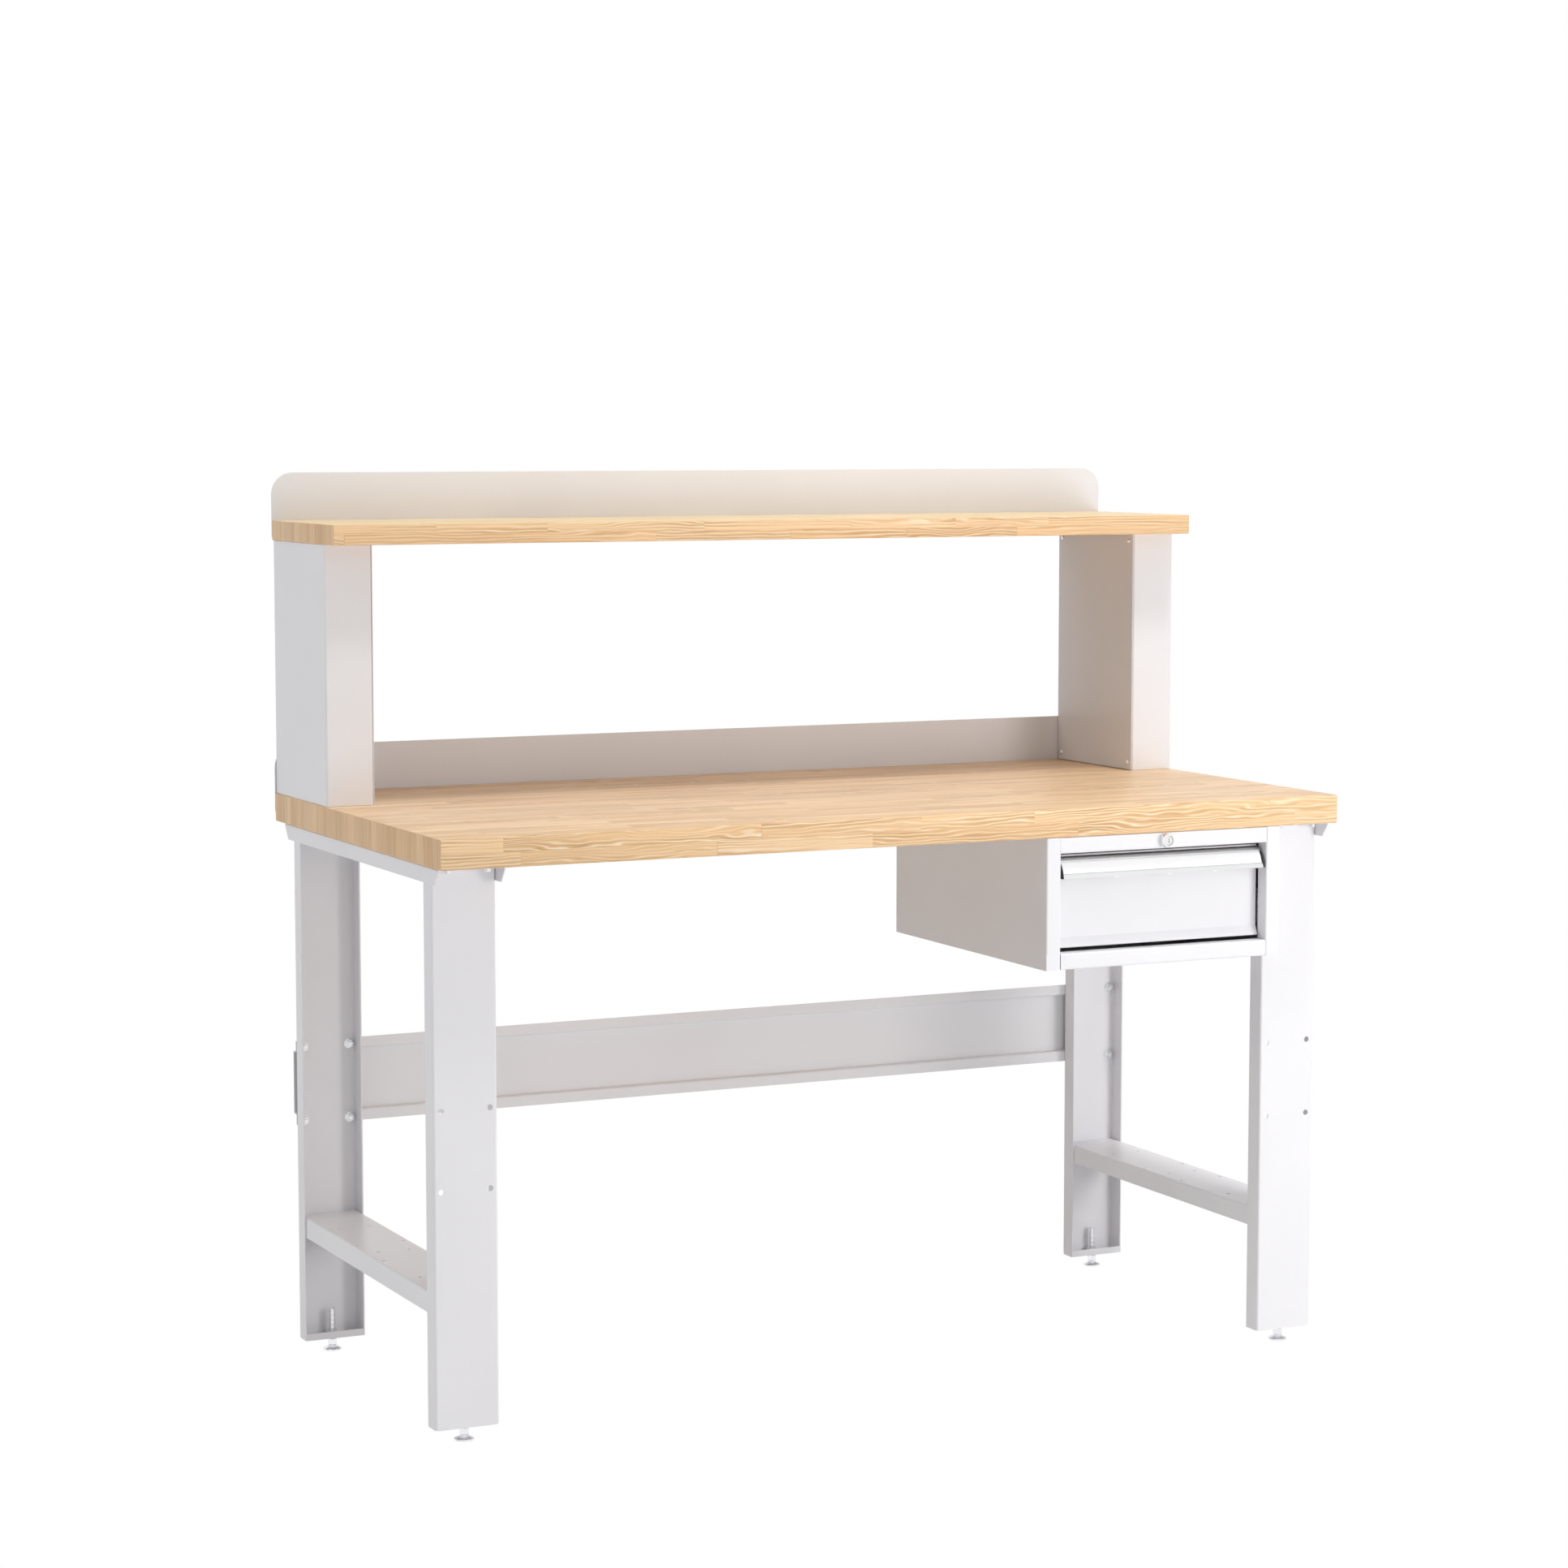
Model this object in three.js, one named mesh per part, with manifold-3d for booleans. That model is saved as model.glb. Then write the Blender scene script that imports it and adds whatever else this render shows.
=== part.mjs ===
// Industrial workbench: laminated wooden worktop on a pair of folded-steel legs, a riser shelf on two
// sheet-metal uprights, and one lockable drawer on telescopic slides hung under the right-hand side.
// Millimetres, +Z up, +X to the right, the drawer faces -Y, the floor is at Z = 0.

import * as THREE from 'three';
import { mergeVertices } from 'three/addons/utils/BufferGeometryUtils.js';
import Module from 'manifold-3d';

const wasm = await Module();
wasm.setup();

// ---------------------------------------------------------------- driving dimensions

const GAP = 0.3; // air left between two pieces that touch
const ROUND = 16; // sides of a small round hole or shank
const BEND_STEPS = 3; // facets in one folded corner
const OVERCUT = 1; // how far a cutting shape runs past the faces it opens
const WELD_BITE = 0.7; // part of a sheet's thickness by which a plate welded inside stays short

// Worktop
const TOP_W = 1524;
const TOP_D = 762;
const TOP_T = 45;
const TOP_Z = 897; // working surface above the floor

// Riser: two uprights, a shelf and two back panels
const RISER_H = 405.4;
const RISER_W = 76;
const RISER_D = 254;
const RISER_INSET = 2; // outer face of an upright from the end of the worktop
const RISER_SHEET = 1.5;
const RISER_RETURN = 22; // inward return that takes the cover screws
const COVER_MARGIN = 1; // cover plate kept inside the upright's outline
const COVER_SCREW_INSET = 12;
const COVER_HOLE_R = 2.4;
const SHELF_D = 304.8;
const SHELF_T = 31.75;
const PANEL_T = 1.5;
const PANEL_CORNER_R = 35;
const PANEL_ABOVE_SHELF = 76.2;
const PANEL_ABOVE_TOP = 76.2;
const PANEL_LAP = 30; // lower panel over the worktop's rear edge
const PANEL_SHELF_LAP = 27; // upper panel over the shelf's rear edge

// Legs
const LEG_SHEET = 2;
const LEG_BEND_R = 1.5; // inside radius of a fold in the leg sheet
const LEG_INSET = 3.4; // head channel's outer face from the end of the worktop
const LEG_SETBACK = 54.5; // front web from the worktop's front edge
const LEG_DEPTH = 633; // front web to rear web, outside
const POST_W = 99.1;
const POST_D = 33;
const POST_BOTTOM = 21.8;
const POST_LIP_H = 11;
const POST_CORNER_CUT = 4;
const HEAD_H = 24.5;
const HEAD_REACH = 35.5; // head channel beyond the webs, at its top
const HEAD_SLANT = 16; // how far its lower edge falls back
const LAG_EDGE = 19; // lag-screw holes from the post's outer faces
const LAG_INSET = 17; // lag-screw holes from the channel's end
const LAG_HOLE_R = 4;
const CROSS_Z = 222.5; // top of the lower cross-member
const CROSS_H = 31.7;
const CROSS_HOLE_R = 3.4;
// Drillings of the cross-member: distance in from the post's outer faces, and places along it.
const CROSS_PAIR_INNER = { edge: 24.5, y: [-187, 0, 187] };
const CROSS_PAIR_OUTER = { edge: 11.5, y: [-60.5, 60.5] };
const BOLT_EDGE = 11.5; // bolt holes in from the post's outer faces
const BOLT_PITCH = 120; // and one above the other
const BOLT_TOP_Z = 494.8;
const BOLT_HOLE_R = 4.5;

// Rear stringer, a hat section bolted behind the rear posts
const STRINGER_TOP_Z = 503.8;
const STRINGER_H = 135.8;
const STRINGER_LIP = 18.3;
const STRINGER_HAT = 12;
const BOLT_R = 4;
const BOLT_NUT_AF = 13; // across flats
const BOLT_NUT_H = 6.8;
const BOLT_TAIL = 3; // thread showing past the nut
const BOLT_HEAD_H = 4.5;
// Half-section of the domed head, as shares of its radius and height.
const BOLT_DOME = [
  [0, 0],
  [1, 0],
  [0.85, 0.5],
  [0.5, 0.88],
  [0, 1],
];

// Levelling feet
const STUD_R = 4.75;
const STUD_TOP_Z = 68;
const STUD_CLEAR = 0.3;
const PAD_R = 15.25;
const PAD_RIM_H = 3.2;
const PAD_CONE_Z = 6.5;
const PAD_GROOVE_R = 6.2;
const PAD_GROOVE_TOP_Z = 8.4;
const PAD_NECK_R = 7.5;
const PAD_BORE_Z = 10;
const WELD_NUT_AF = 17;
const WELD_NUT_H = 8;

// Drawer cabinet
const CAB_TO_LEG = 0.6; // air between the cabinet and the head channel beside it
const CAB_W = 425;
const CAB_D = 508;
const CAB_H = 206.6;
const CAB_SHEET = 1.5;
const FRAME_W = 25.4; // visible width of the front frame's members
const FRAME_RETURN = 24; // how far the members fold back
const CAB_FLANGE = 20; // inward flanges screwed to the worktop
const CAB_FLANGE_BACK = 6; // their front ends behind the stile's return
const FLOOR_LIP = 12;
const FLOOR_PLATE_INSET = 4; // wide part of the floor inside its folded ends

// Drawer
const FACE_RECESS = 27.5; // drawer face behind the cabinet's front
const FACE_SIDE_GAP = 2.2;
const FACE_TOP_GAP = 4.6;
const FACE_BOTTOM_GAP = 5.4;
const FACE_PAN_D = 12; // depth of the folded drawer front
const KICK_H = 16; // flared lower edge
const KICK_OUT = 7;
const DRAWER_SHEET = 1.2;
const TRAY_TO_BACK = 13.7; // air behind the tray
const TRAY_TOP_DOWN = 22.8; // rim of the tray below the top of the face
const TRAY_FLOOR_UP = 1; // tray's underside above the face's lower edge

// Slides
const SLIDE_SHORT = 3; // slide shorter than the tray
const SLIDE_W = 12.7;
const SLIDE_UP = 45; // middle line of the slides above the tray's underside
const SLIDE_SHEET = 1.2;
const SLIDE_PLAY = 0.4; // between the webs of the outer and the middle member
const SLIDE_OUTER_H = 45;
const SLIDE_MIDDLE_H = 37;
const SLIDE_INNER_H = 29;
const SLIDE_FLANGE = 9; // running flanges of each member
const SLIDE_FRONT_GAP = 7; // slide's front end behind the tray's front wall
const SPACER_H = 60;
const SPACER_FRONT_GAP = 2; // behind the stile's return
const SPACER_EXTRA = 20; // spacer longer than the slide
const SLIDE_BEND_R = 0.6;
const SLIDE_STEP = 1; // each member's flanges shorter than the one outside it

// Handle
const HANDLE_END_GAP = 3.2; // extrusion's end inside the drawer face
const CAP_T = 2.5;
const LABEL_T = 0.8;
const LABEL_TOP_GAP = 1.4;
const LABEL_LOW_GAP = 0.8;
const LABEL_END_GAP = 1;
const CAP_STEPS = 8; // facets round a cap's outer edge

// Lock
const LOCK_PROUD = 11;
const LOCK_BEZEL_R = 10.8;
const LOCK_BARREL_R = 9.5;
const LOCK_BARREL_L = 28; // behind the rail's face
const LOCK_CHAMFER = 1.2;
const PLUG_R = 7;
const PLUG_CLEAR = 0.3;
const PLUG_TAIL_R = 3;
const PLUG_TAIL_PROUD = 1.5; // tail past the cam
const PLUG_SET_BACK = 0.6; // plug's face behind the barrel's
const KEYWAY_W = 1.6;
const KEYWAY_H = 8;
const KEYWAY_D = 6;
const CAM_L = 22;
const CAM_R = 7;
const CAM_TIP_R = 4.5;
const CAM_T = 2;
const CAM_BEHIND_FACE = 3.2; // cam drops this far behind the drawer face's sheet
const CAM_SLOT_CLEAR = 2.5;

// ---------------------------------------------------------------- derived places

const half = (value) => value / 2;
const TOP_UNDER = TOP_Z - TOP_T;
const FRONT = -half(TOP_D);
const BACK = half(TOP_D);
const RISER_TOP = TOP_Z + RISER_H;
const SHELF_TOP = RISER_TOP + SHELF_T;
const LEG_FRONT = FRONT + LEG_SETBACK;
const LEG_BACK = LEG_FRONT + LEG_DEPTH;
const LEG_X = half(TOP_W) - LEG_INSET - LEG_SHEET - half(POST_W); // middle plane of a leg
const POST_TOP = TOP_UNDER - LEG_SHEET - LEG_BEND_R - 2 * GAP;
const BOLT_LOW_Z = BOLT_TOP_Z - BOLT_PITCH;
const FOOT_FRONT_Y = LEG_FRONT + half(POST_D);
const FOOT_BACK_Y = LEG_BACK - half(POST_D);
const BOLT_X = half(POST_W) - BOLT_EDGE; // from the leg's middle plane
// Where the flat of the stringer's upper lip gives way to its bend.
const LIP_FLAT_Z = STRINGER_TOP_Z - STRINGER_LIP + LEG_SHEET + LEG_BEND_R;
const BOLT_HEAD_R = BOLT_TOP_Z - LIP_FLAT_Z - GAP;
const CAB_RIGHT = LEG_X - half(POST_W) - GAP - LEG_SHEET - CAB_TO_LEG;
const CAB_X = CAB_RIGHT - CAB_W;
const CAB_BOTTOM = TOP_UNDER - CAB_H;
const CAB_MID = CAB_X + half(CAB_W);
const OPEN_X0 = CAB_X + FRAME_W;
const OPEN_X1 = CAB_RIGHT - FRAME_W;
const OPEN_Z0 = CAB_BOTTOM + FRAME_W;
const OPEN_Z1 = TOP_UNDER - FRAME_W;
const FACE_Y = FRONT + FACE_RECESS;
const FACE_X0 = OPEN_X0 + FACE_SIDE_GAP;
const FACE_X1 = OPEN_X1 - FACE_SIDE_GAP;
const FACE_Z0 = OPEN_Z0 + FACE_BOTTOM_GAP;
const FACE_Z1 = OPEN_Z1 - FACE_TOP_GAP;
const TRAY_X0 = OPEN_X0 + SLIDE_W + GAP;
const TRAY_X1 = OPEN_X1 - SLIDE_W - GAP;
const TRAY_Y0 = FACE_Y + FACE_PAN_D + GAP;
const TRAY_Z0 = FACE_Z0 + TRAY_FLOOR_UP;
const TRAY_WALL_H = FACE_Z1 - TRAY_Z0 - TRAY_TOP_DOWN;
const TRAY_L = FRONT + CAB_D - CAB_SHEET - TRAY_TO_BACK - TRAY_Y0;
const SLIDE_Z = TRAY_Z0 + SLIDE_UP;
const SLIDE_L = TRAY_L - SLIDE_SHORT;
const SLIDE_Y0 = TRAY_Y0 + SLIDE_FRONT_GAP;
const LOCK_Z = TOP_UNDER - half(FRAME_W);
const LOCK_FRONT = FRONT - LOCK_PROUD;
const CAM_Y = FACE_Y + DRAWER_SHEET + CAM_BEHIND_FACE;
const PANEL_BACK = BACK + GAP + PANEL_T;

// ---------------------------------------------------------------- materials

function finish(color, roughness, metalness) {
  return new THREE.MeshStandardMaterial({ color, roughness, metalness });
}

const WOOD = { color: 0xe6c497, roughness: 0.45, metalness: 0 };
const POWDER_COAT = { color: 0xe4e3e5, roughness: 0.4, metalness: 0 };
const ZINC = { color: 0xc9ccd0, roughness: 0.3, metalness: 1 };
const ALUMINIUM = { color: 0xd6d8da, roughness: 0.3, metalness: 1 };
const BLACK_PLASTIC = { color: 0x1b1b1c, roughness: 0.5, metalness: 0 };
const LABEL_CARD = { color: 0xf6f6f6, roughness: 0.6, metalness: 0 };

// ---------------------------------------------------------------- shape helpers

// Axis-aligned block from its two corners.
function block(x, y, z) {
  const shape = new THREE.BoxGeometry(x[1] - x[0], y[1] - y[0], z[1] - z[0]);
  return shape.translate(half(x[0] + x[1]), half(y[0] + y[1]), half(z[0] + z[1]));
}

// Outline in a plane, pushed along one axis from `start` over `length`.
// For 'x' the outline holds (y, z) pairs, for 'y' (x, z) pairs and for 'z' (x, y) pairs.
function prism(outline, axis, start, length) {
  const shape = new THREE.Shape(outline.map(([a, b]) => new THREE.Vector2(a, b)));
  const solid = new THREE.ExtrudeGeometry(shape, { depth: length, bevelEnabled: false, steps: 1 });
  const turn = new THREE.Matrix4();
  if (axis === 'x') {
    solid.applyMatrix4(turn.set(0, 0, 1, start, 1, 0, 0, 0, 0, 1, 0, 0, 0, 0, 0, 1));
  } else if (axis === 'y') {
    solid.applyMatrix4(turn.set(1, 0, 0, 0, 0, 0, -1, start + length, 0, 1, 0, 0, 0, 0, 0, 1));
  } else {
    solid.translate(0, 0, start);
  }
  return solid;
}

// Round or many-sided bar along an axis, from `start` over `length`, centred on the point `at`.
function bar(axis, at, radius, start, length, sides = ROUND, turn = 0) {
  const solid = new THREE.CylinderGeometry(radius, radius, length, sides);
  solid.rotateY(turn);
  if (axis === 'z') {
    solid.rotateX(half(Math.PI)).translate(at[0], at[1], start + half(length));
  } else if (axis === 'y') {
    solid.translate(at[0], start + half(length), at[1]);
  } else {
    solid.rotateZ(half(Math.PI)).translate(start + half(length), at[0], at[1]);
  }
  return solid;
}

const hexRadius = (acrossFlats) => acrossFlats / Math.sqrt(3);

const throughSheet = (thickness) => thickness + 2 * OVERCUT;

// Cross-section of a folded sheet. `path` runs along one face of the sheet with sharp corners, the sheet's
// thickness lies to its left, and every corner becomes a bend of inside radius `inner`.
function foldedOutline(path, thickness, inner) {
  const points = path.map(([a, b]) => new THREE.Vector2(a, b));
  const near = [];
  const far = [];
  const leftOf = (d) => new THREE.Vector2(-d.y, d.x);
  for (let i = 0; i < points.length; i += 1) {
    const before = i > 0 ? points[i].clone().sub(points[i - 1]).normalize() : null;
    const after = i < points.length - 1 ? points[i + 1].clone().sub(points[i]).normalize() : null;
    if (!before || !after) {
      near.push(points[i]);
      far.push(points[i].clone().addScaledVector(leftOf(before || after), thickness));
      continue;
    }
    const turn = before.cross(after);
    const side = Math.sign(turn); // +1 bends towards the thickness, -1 away from it
    const nearR = side > 0 ? inner + thickness : inner;
    const farR = side > 0 ? inner : inner + thickness;
    const angle = Math.acos(THREE.MathUtils.clamp(before.dot(after), -1, 1));
    const setback = nearR * Math.tan(half(angle));
    const centre = points[i].clone().addScaledVector(before, -setback);
    centre.addScaledVector(leftOf(before), side * nearR);
    const from = leftOf(before).multiplyScalar(-side);
    for (let step = 0; step <= BEND_STEPS; step += 1) {
      const arm = from.clone().rotateAround(new THREE.Vector2(), (side * angle * step) / BEND_STEPS);
      near.push(centre.clone().addScaledVector(arm, nearR));
      far.push(centre.clone().addScaledVector(arm, farR));
    }
  }
  return [...near, ...far.reverse()].map((p) => [p.x, p.y]);
}

// Mirrors an outline or path left to right.
const mirrored = (outline) => outline.map(([a, b]) => [-a, b]).reverse();

function toSolid(geometry) {
  const bare = geometry.clone();
  bare.deleteAttribute('normal');
  bare.deleteAttribute('uv');
  const joined = mergeVertices(bare, 1e-4);
  const vertProperties = new Float32Array(joined.attributes.position.array);
  const triVerts = new Uint32Array(joined.index.array);
  return new wasm.Manifold(new wasm.Mesh({ numProp: 3, vertProperties, triVerts }));
}

function toGeometry(solid) {
  const mesh = solid.getMesh();
  const geometry = new THREE.BufferGeometry();
  geometry.setAttribute('position', new THREE.BufferAttribute(new Float32Array(mesh.vertProperties), 3));
  geometry.setIndex(new THREE.BufferAttribute(new Uint32Array(mesh.triVerts), 1));
  geometry.computeVertexNormals();
  return geometry;
}

// Joins the shapes in `keep` and cuts away the shapes in `cut`.
function carve(keep, cut = []) {
  let solid = toSolid(keep[0]);
  keep.slice(1).forEach((shape) => {
    solid = solid.add(toSolid(shape));
  });
  cut.forEach((shape) => {
    solid = solid.subtract(toSolid(shape));
  });
  return toGeometry(solid);
}

const bench = new THREE.Group();

function place(name, geometry, look) {
  const mesh = new THREE.Mesh(geometry, finish(look.color, look.roughness, look.metalness));
  mesh.name = name;
  bench.add(mesh);
}

const SIDES = [
  { name: 'left', sign: -1 },
  { name: 'right', sign: 1 },
];
const ENDS = [
  { name: 'front', web: LEG_FRONT, inward: 1, footY: FOOT_FRONT_Y },
  { name: 'rear', web: LEG_BACK, inward: -1, footY: FOOT_BACK_Y },
];

// ---------------------------------------------------------------- worktop and riser

function makeWorktop() {
  place('worktop', block([-half(TOP_W), half(TOP_W)], [FRONT, BACK], [TOP_UNDER, TOP_Z]), WOOD);
}

function makeShelf() {
  const y = [BACK - SHELF_D, BACK];
  place('riser_shelf', block([-half(TOP_W), half(TOP_W)], y, [RISER_TOP, SHELF_TOP]), WOOD);
}

// One upright: a folded shell, open towards the middle of the bench, with a foot and a head plate.
function makeRiserShell(side) {
  const outer = half(TOP_W) - RISER_INSET;
  const inner = outer - RISER_W;
  const front = BACK - RISER_D;
  const z0 = TOP_Z + GAP;
  const z1 = RISER_TOP - GAP;
  const path = [
    [inner, front + RISER_RETURN],
    [inner, front],
    [outer, front],
    [outer, BACK],
    [inner, BACK],
    [inner, BACK - RISER_RETURN],
  ];
  const fold = foldedOutline(path, RISER_SHEET, RISER_SHEET);
  const wall = prism(side.sign > 0 ? fold : mirrored(fold), 'z', z0, z1 - z0);
  const margin = RISER_SHEET * WELD_BITE;
  const plateX = [inner + margin, outer - margin].map((x) => x * side.sign).sort((a, b) => a - b);
  const plateY = [front + margin, BACK - margin];
  const footPlate = block(plateX, plateY, [z0, z0 + RISER_SHEET]);
  const headPlate = block(plateX, plateY, [z1 - RISER_SHEET, z1]);
  place(`riser_shell_${side.name}`, carve([wall, footPlate, headPlate]), POWDER_COAT);
}

// Flat plate that closes the open side of an upright, held by a screw near each corner.
function makeRiserCover(side) {
  const face = (half(TOP_W) - RISER_INSET - RISER_W - GAP) * side.sign;
  const x = [face, face - RISER_SHEET * side.sign].sort((a, b) => a - b);
  const y = [BACK - RISER_D + COVER_MARGIN, BACK - COVER_MARGIN];
  const z = [TOP_Z + COVER_MARGIN, RISER_TOP - COVER_MARGIN];
  const holes = [];
  [y[0] + COVER_SCREW_INSET, y[1] - COVER_SCREW_INSET].forEach((holeY) => {
    [z[0] + COVER_SCREW_INSET, z[1] - COVER_SCREW_INSET].forEach((holeZ) => {
      holes.push(bar('x', [holeY, holeZ], COVER_HOLE_R, x[0] - OVERCUT, throughSheet(RISER_SHEET), 12));
    });
  });
  place(`riser_cover_${side.name}`, carve([block(x, y, z)], holes), POWDER_COAT);
}

// Sheet panel behind the bench with its two upper corners rounded.
function makeBackPanel(name, z0, z1) {
  const w = half(TOP_W);
  const r = PANEL_CORNER_R;
  const shape = new THREE.Shape();
  shape.moveTo(-w, z0);
  shape.lineTo(w, z0);
  shape.lineTo(w, z1 - r);
  shape.absarc(w - r, z1 - r, r, 0, half(Math.PI), false);
  shape.lineTo(-w + r, z1);
  shape.absarc(-w + r, z1 - r, r, half(Math.PI), Math.PI, false);
  const outline = shape.getPoints(4).map((p) => [p.x, p.y]);
  place(name, prism(outline, 'y', BACK + GAP, PANEL_T), POWDER_COAT);
}

// ---------------------------------------------------------------- legs

// Folded U-section post: web outwards, flanges towards the other post, and a bottom pan with an upturned
// lip and a weld nut for the levelling foot.
function makePost(side, end) {
  const w = half(POST_W);
  const toward = end.inward;
  const centre = LEG_X * side.sign;
  const path = [
    [-w, POST_D * toward],
    [-w, 0],
    [w, 0],
    [w, POST_D * toward],
  ];
  const run = toward > 0 ? path : path.reverse();
  const fold = foldedOutline(run, LEG_SHEET, LEG_BEND_R);
  const shiftTo = (geometry) => geometry.translate(centre, end.web, 0);
  const channel = shiftTo(prism(fold, 'z', POST_BOTTOM, POST_TOP - POST_BOTTOM));
  const inner = w - LEG_SHEET * WELD_BITE;
  const span = [LEG_SHEET * WELD_BITE * toward, POST_D * toward].sort((a, b) => a - b);
  const lipSpan = [(POST_D - LEG_SHEET) * toward, POST_D * toward].sort((a, b) => a - b);
  const pan = shiftTo(block([-inner, inner], span, [POST_BOTTOM, POST_BOTTOM + LEG_SHEET]));
  const lip = shiftTo(block([-inner, inner], lipSpan, [POST_BOTTOM, POST_BOTTOM + POST_LIP_H]));
  const nutZ = POST_BOTTOM + half(LEG_SHEET);
  const foot = [centre, end.footY];
  const nut = bar('z', foot, hexRadius(WELD_NUT_AF), nutZ, WELD_NUT_H + half(LEG_SHEET), 6);
  const nutHole = WELD_NUT_H + LEG_SHEET + 2 * OVERCUT;
  const cuts = [bar('z', foot, STUD_R + STUD_CLEAR, POST_BOTTOM - OVERCUT, nutHole)];
  const webSpan = [-OVERCUT * toward, (LEG_SHEET + LEG_BEND_R) * toward].sort((a, b) => a - b);
  [-1, 1].forEach((hand) => {
    const x = centre + hand * BOLT_X;
    [BOLT_TOP_Z, BOLT_LOW_Z].forEach((z) => {
      const web = end.web + webSpan[0];
      cuts.push(bar('y', [x, z], BOLT_HOLE_R, web, webSpan[1] - webSpan[0]));
    });
    const low = POST_BOTTOM - OVERCUT;
    const corner = [
      [w + OVERCUT, low],
      [w + OVERCUT, POST_BOTTOM + POST_CORNER_CUT + OVERCUT],
      [w - POST_CORNER_CUT - OVERCUT, low],
    ].map(([a, b]) => [centre + hand * a, b]);
    const wedge = hand > 0 ? corner : corner.reverse();
    cuts.push(prism(wedge, 'y', end.web + webSpan[0], webSpan[1] - webSpan[0]));
  });
  place(`leg_post_${end.name}_${side.name}`, carve([channel, pan, lip, nut], cuts), POWDER_COAT);
}

// Inverted channel across the top of a leg, with slanted ends, screwed up into the worktop.
function makeHeadChannel(side) {
  const w = half(POST_W) + GAP + LEG_SHEET;
  const centre = LEG_X * side.sign;
  const low = TOP_UNDER - GAP - HEAD_H;
  const high = TOP_UNDER - GAP;
  const path = [
    [-w, low],
    [-w, high],
    [w, high],
    [w, low],
  ].reverse();
  const y0 = LEG_FRONT - HEAD_REACH;
  const length = LEG_DEPTH + 2 * HEAD_REACH;
  const fold = foldedOutline(path, LEG_SHEET, LEG_BEND_R).map(([a, b]) => [a + centre, b]);
  const channel = prism(fold, 'y', y0, length);
  const slant = (edge, out) => {
    const outline = [
      [edge - out * OVERCUT, high - LEG_SHEET],
      [edge - out * OVERCUT, low - OVERCUT],
      [edge + out * HEAD_SLANT, low - OVERCUT],
      [edge + out * HEAD_SLANT, low],
    ];
    return prism(out > 0 ? outline : outline.reverse(), 'x', centre - w - OVERCUT, 2 * (w + OVERCUT));
  };
  const holes = [];
  [-1, 1].forEach((hand) => {
    [y0 + LAG_INSET, y0 + length - LAG_INSET].forEach((y) => {
      const at = [centre + hand * (half(POST_W) - LAG_EDGE), y];
      holes.push(bar('z', at, LAG_HOLE_R, high - LEG_SHEET - OVERCUT, throughSheet(LEG_SHEET)));
    });
  });
  const cuts = [slant(y0, 1), slant(y0 + length, -1), ...holes];
  place(`leg_head_channel_${side.name}`, carve([channel], cuts), POWDER_COAT);
}

// Lower cross-member between the posts of one leg, an inverted channel drilled for accessories.
function makeCrossMember(side) {
  const w = half(POST_W) - LEG_SHEET - GAP;
  const centre = LEG_X * side.sign;
  const path = [
    [w, CROSS_Z - CROSS_H],
    [w, CROSS_Z],
    [-w, CROSS_Z],
    [-w, CROSS_Z - CROSS_H],
  ];
  const fold = foldedOutline(path, LEG_SHEET, LEG_BEND_R).map(([a, b]) => [a + centre, b]);
  const clear = LEG_SHEET + LEG_BEND_R + GAP; // its square end stops short of the post's inside bend
  const y0 = LEG_FRONT + clear;
  const length = LEG_DEPTH - 2 * clear;
  const channel = prism(fold, 'y', y0, length);
  const middle = y0 + half(length);
  const holes = [];
  [CROSS_PAIR_INNER, CROSS_PAIR_OUTER].forEach((pair) => {
    pair.y.forEach((y) => {
      [-1, 1].forEach((hand) => {
        const at = [centre + hand * (half(POST_W) - pair.edge), middle + y];
        const under = CROSS_Z - LEG_SHEET - OVERCUT;
        holes.push(bar('z', at, CROSS_HOLE_R, under, throughSheet(LEG_SHEET), 12));
      });
    });
  });
  place(`leg_cross_member_${side.name}`, carve([channel], holes), POWDER_COAT);
}

// Hat-section stringer that ties the rear posts together.
function makeStringer() {
  const low = STRINGER_TOP_Z - STRINGER_H;
  const seat = LEG_BACK + GAP;
  const path = [
    [seat, low],
    [seat, low + STRINGER_LIP],
    [seat + STRINGER_HAT, low + STRINGER_LIP],
    [seat + STRINGER_HAT, STRINGER_TOP_Z - STRINGER_LIP],
    [seat, STRINGER_TOP_Z - STRINGER_LIP],
    [seat, STRINGER_TOP_Z],
  ].reverse();
  const reach = LEG_X + half(POST_W);
  const hat = prism(foldedOutline(path, LEG_SHEET, LEG_BEND_R), 'x', -reach, 2 * reach);
  const holes = [];
  boltPlaces().forEach(({ x, z }) => {
    holes.push(bar('y', [x, z], BOLT_HOLE_R, seat - OVERCUT, throughSheet(LEG_SHEET)));
  });
  place('rear_stringer', carve([hat], holes), POWDER_COAT);
}

function boltPlaces() {
  const places = [];
  SIDES.forEach((side) => {
    [-1, 1].forEach((hand) => {
      [BOLT_TOP_Z, BOLT_LOW_Z].forEach((z) => {
        places.push({ side: side.name, x: LEG_X * side.sign + hand * BOLT_X, z });
      });
    });
  });
  return places;
}

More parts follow.
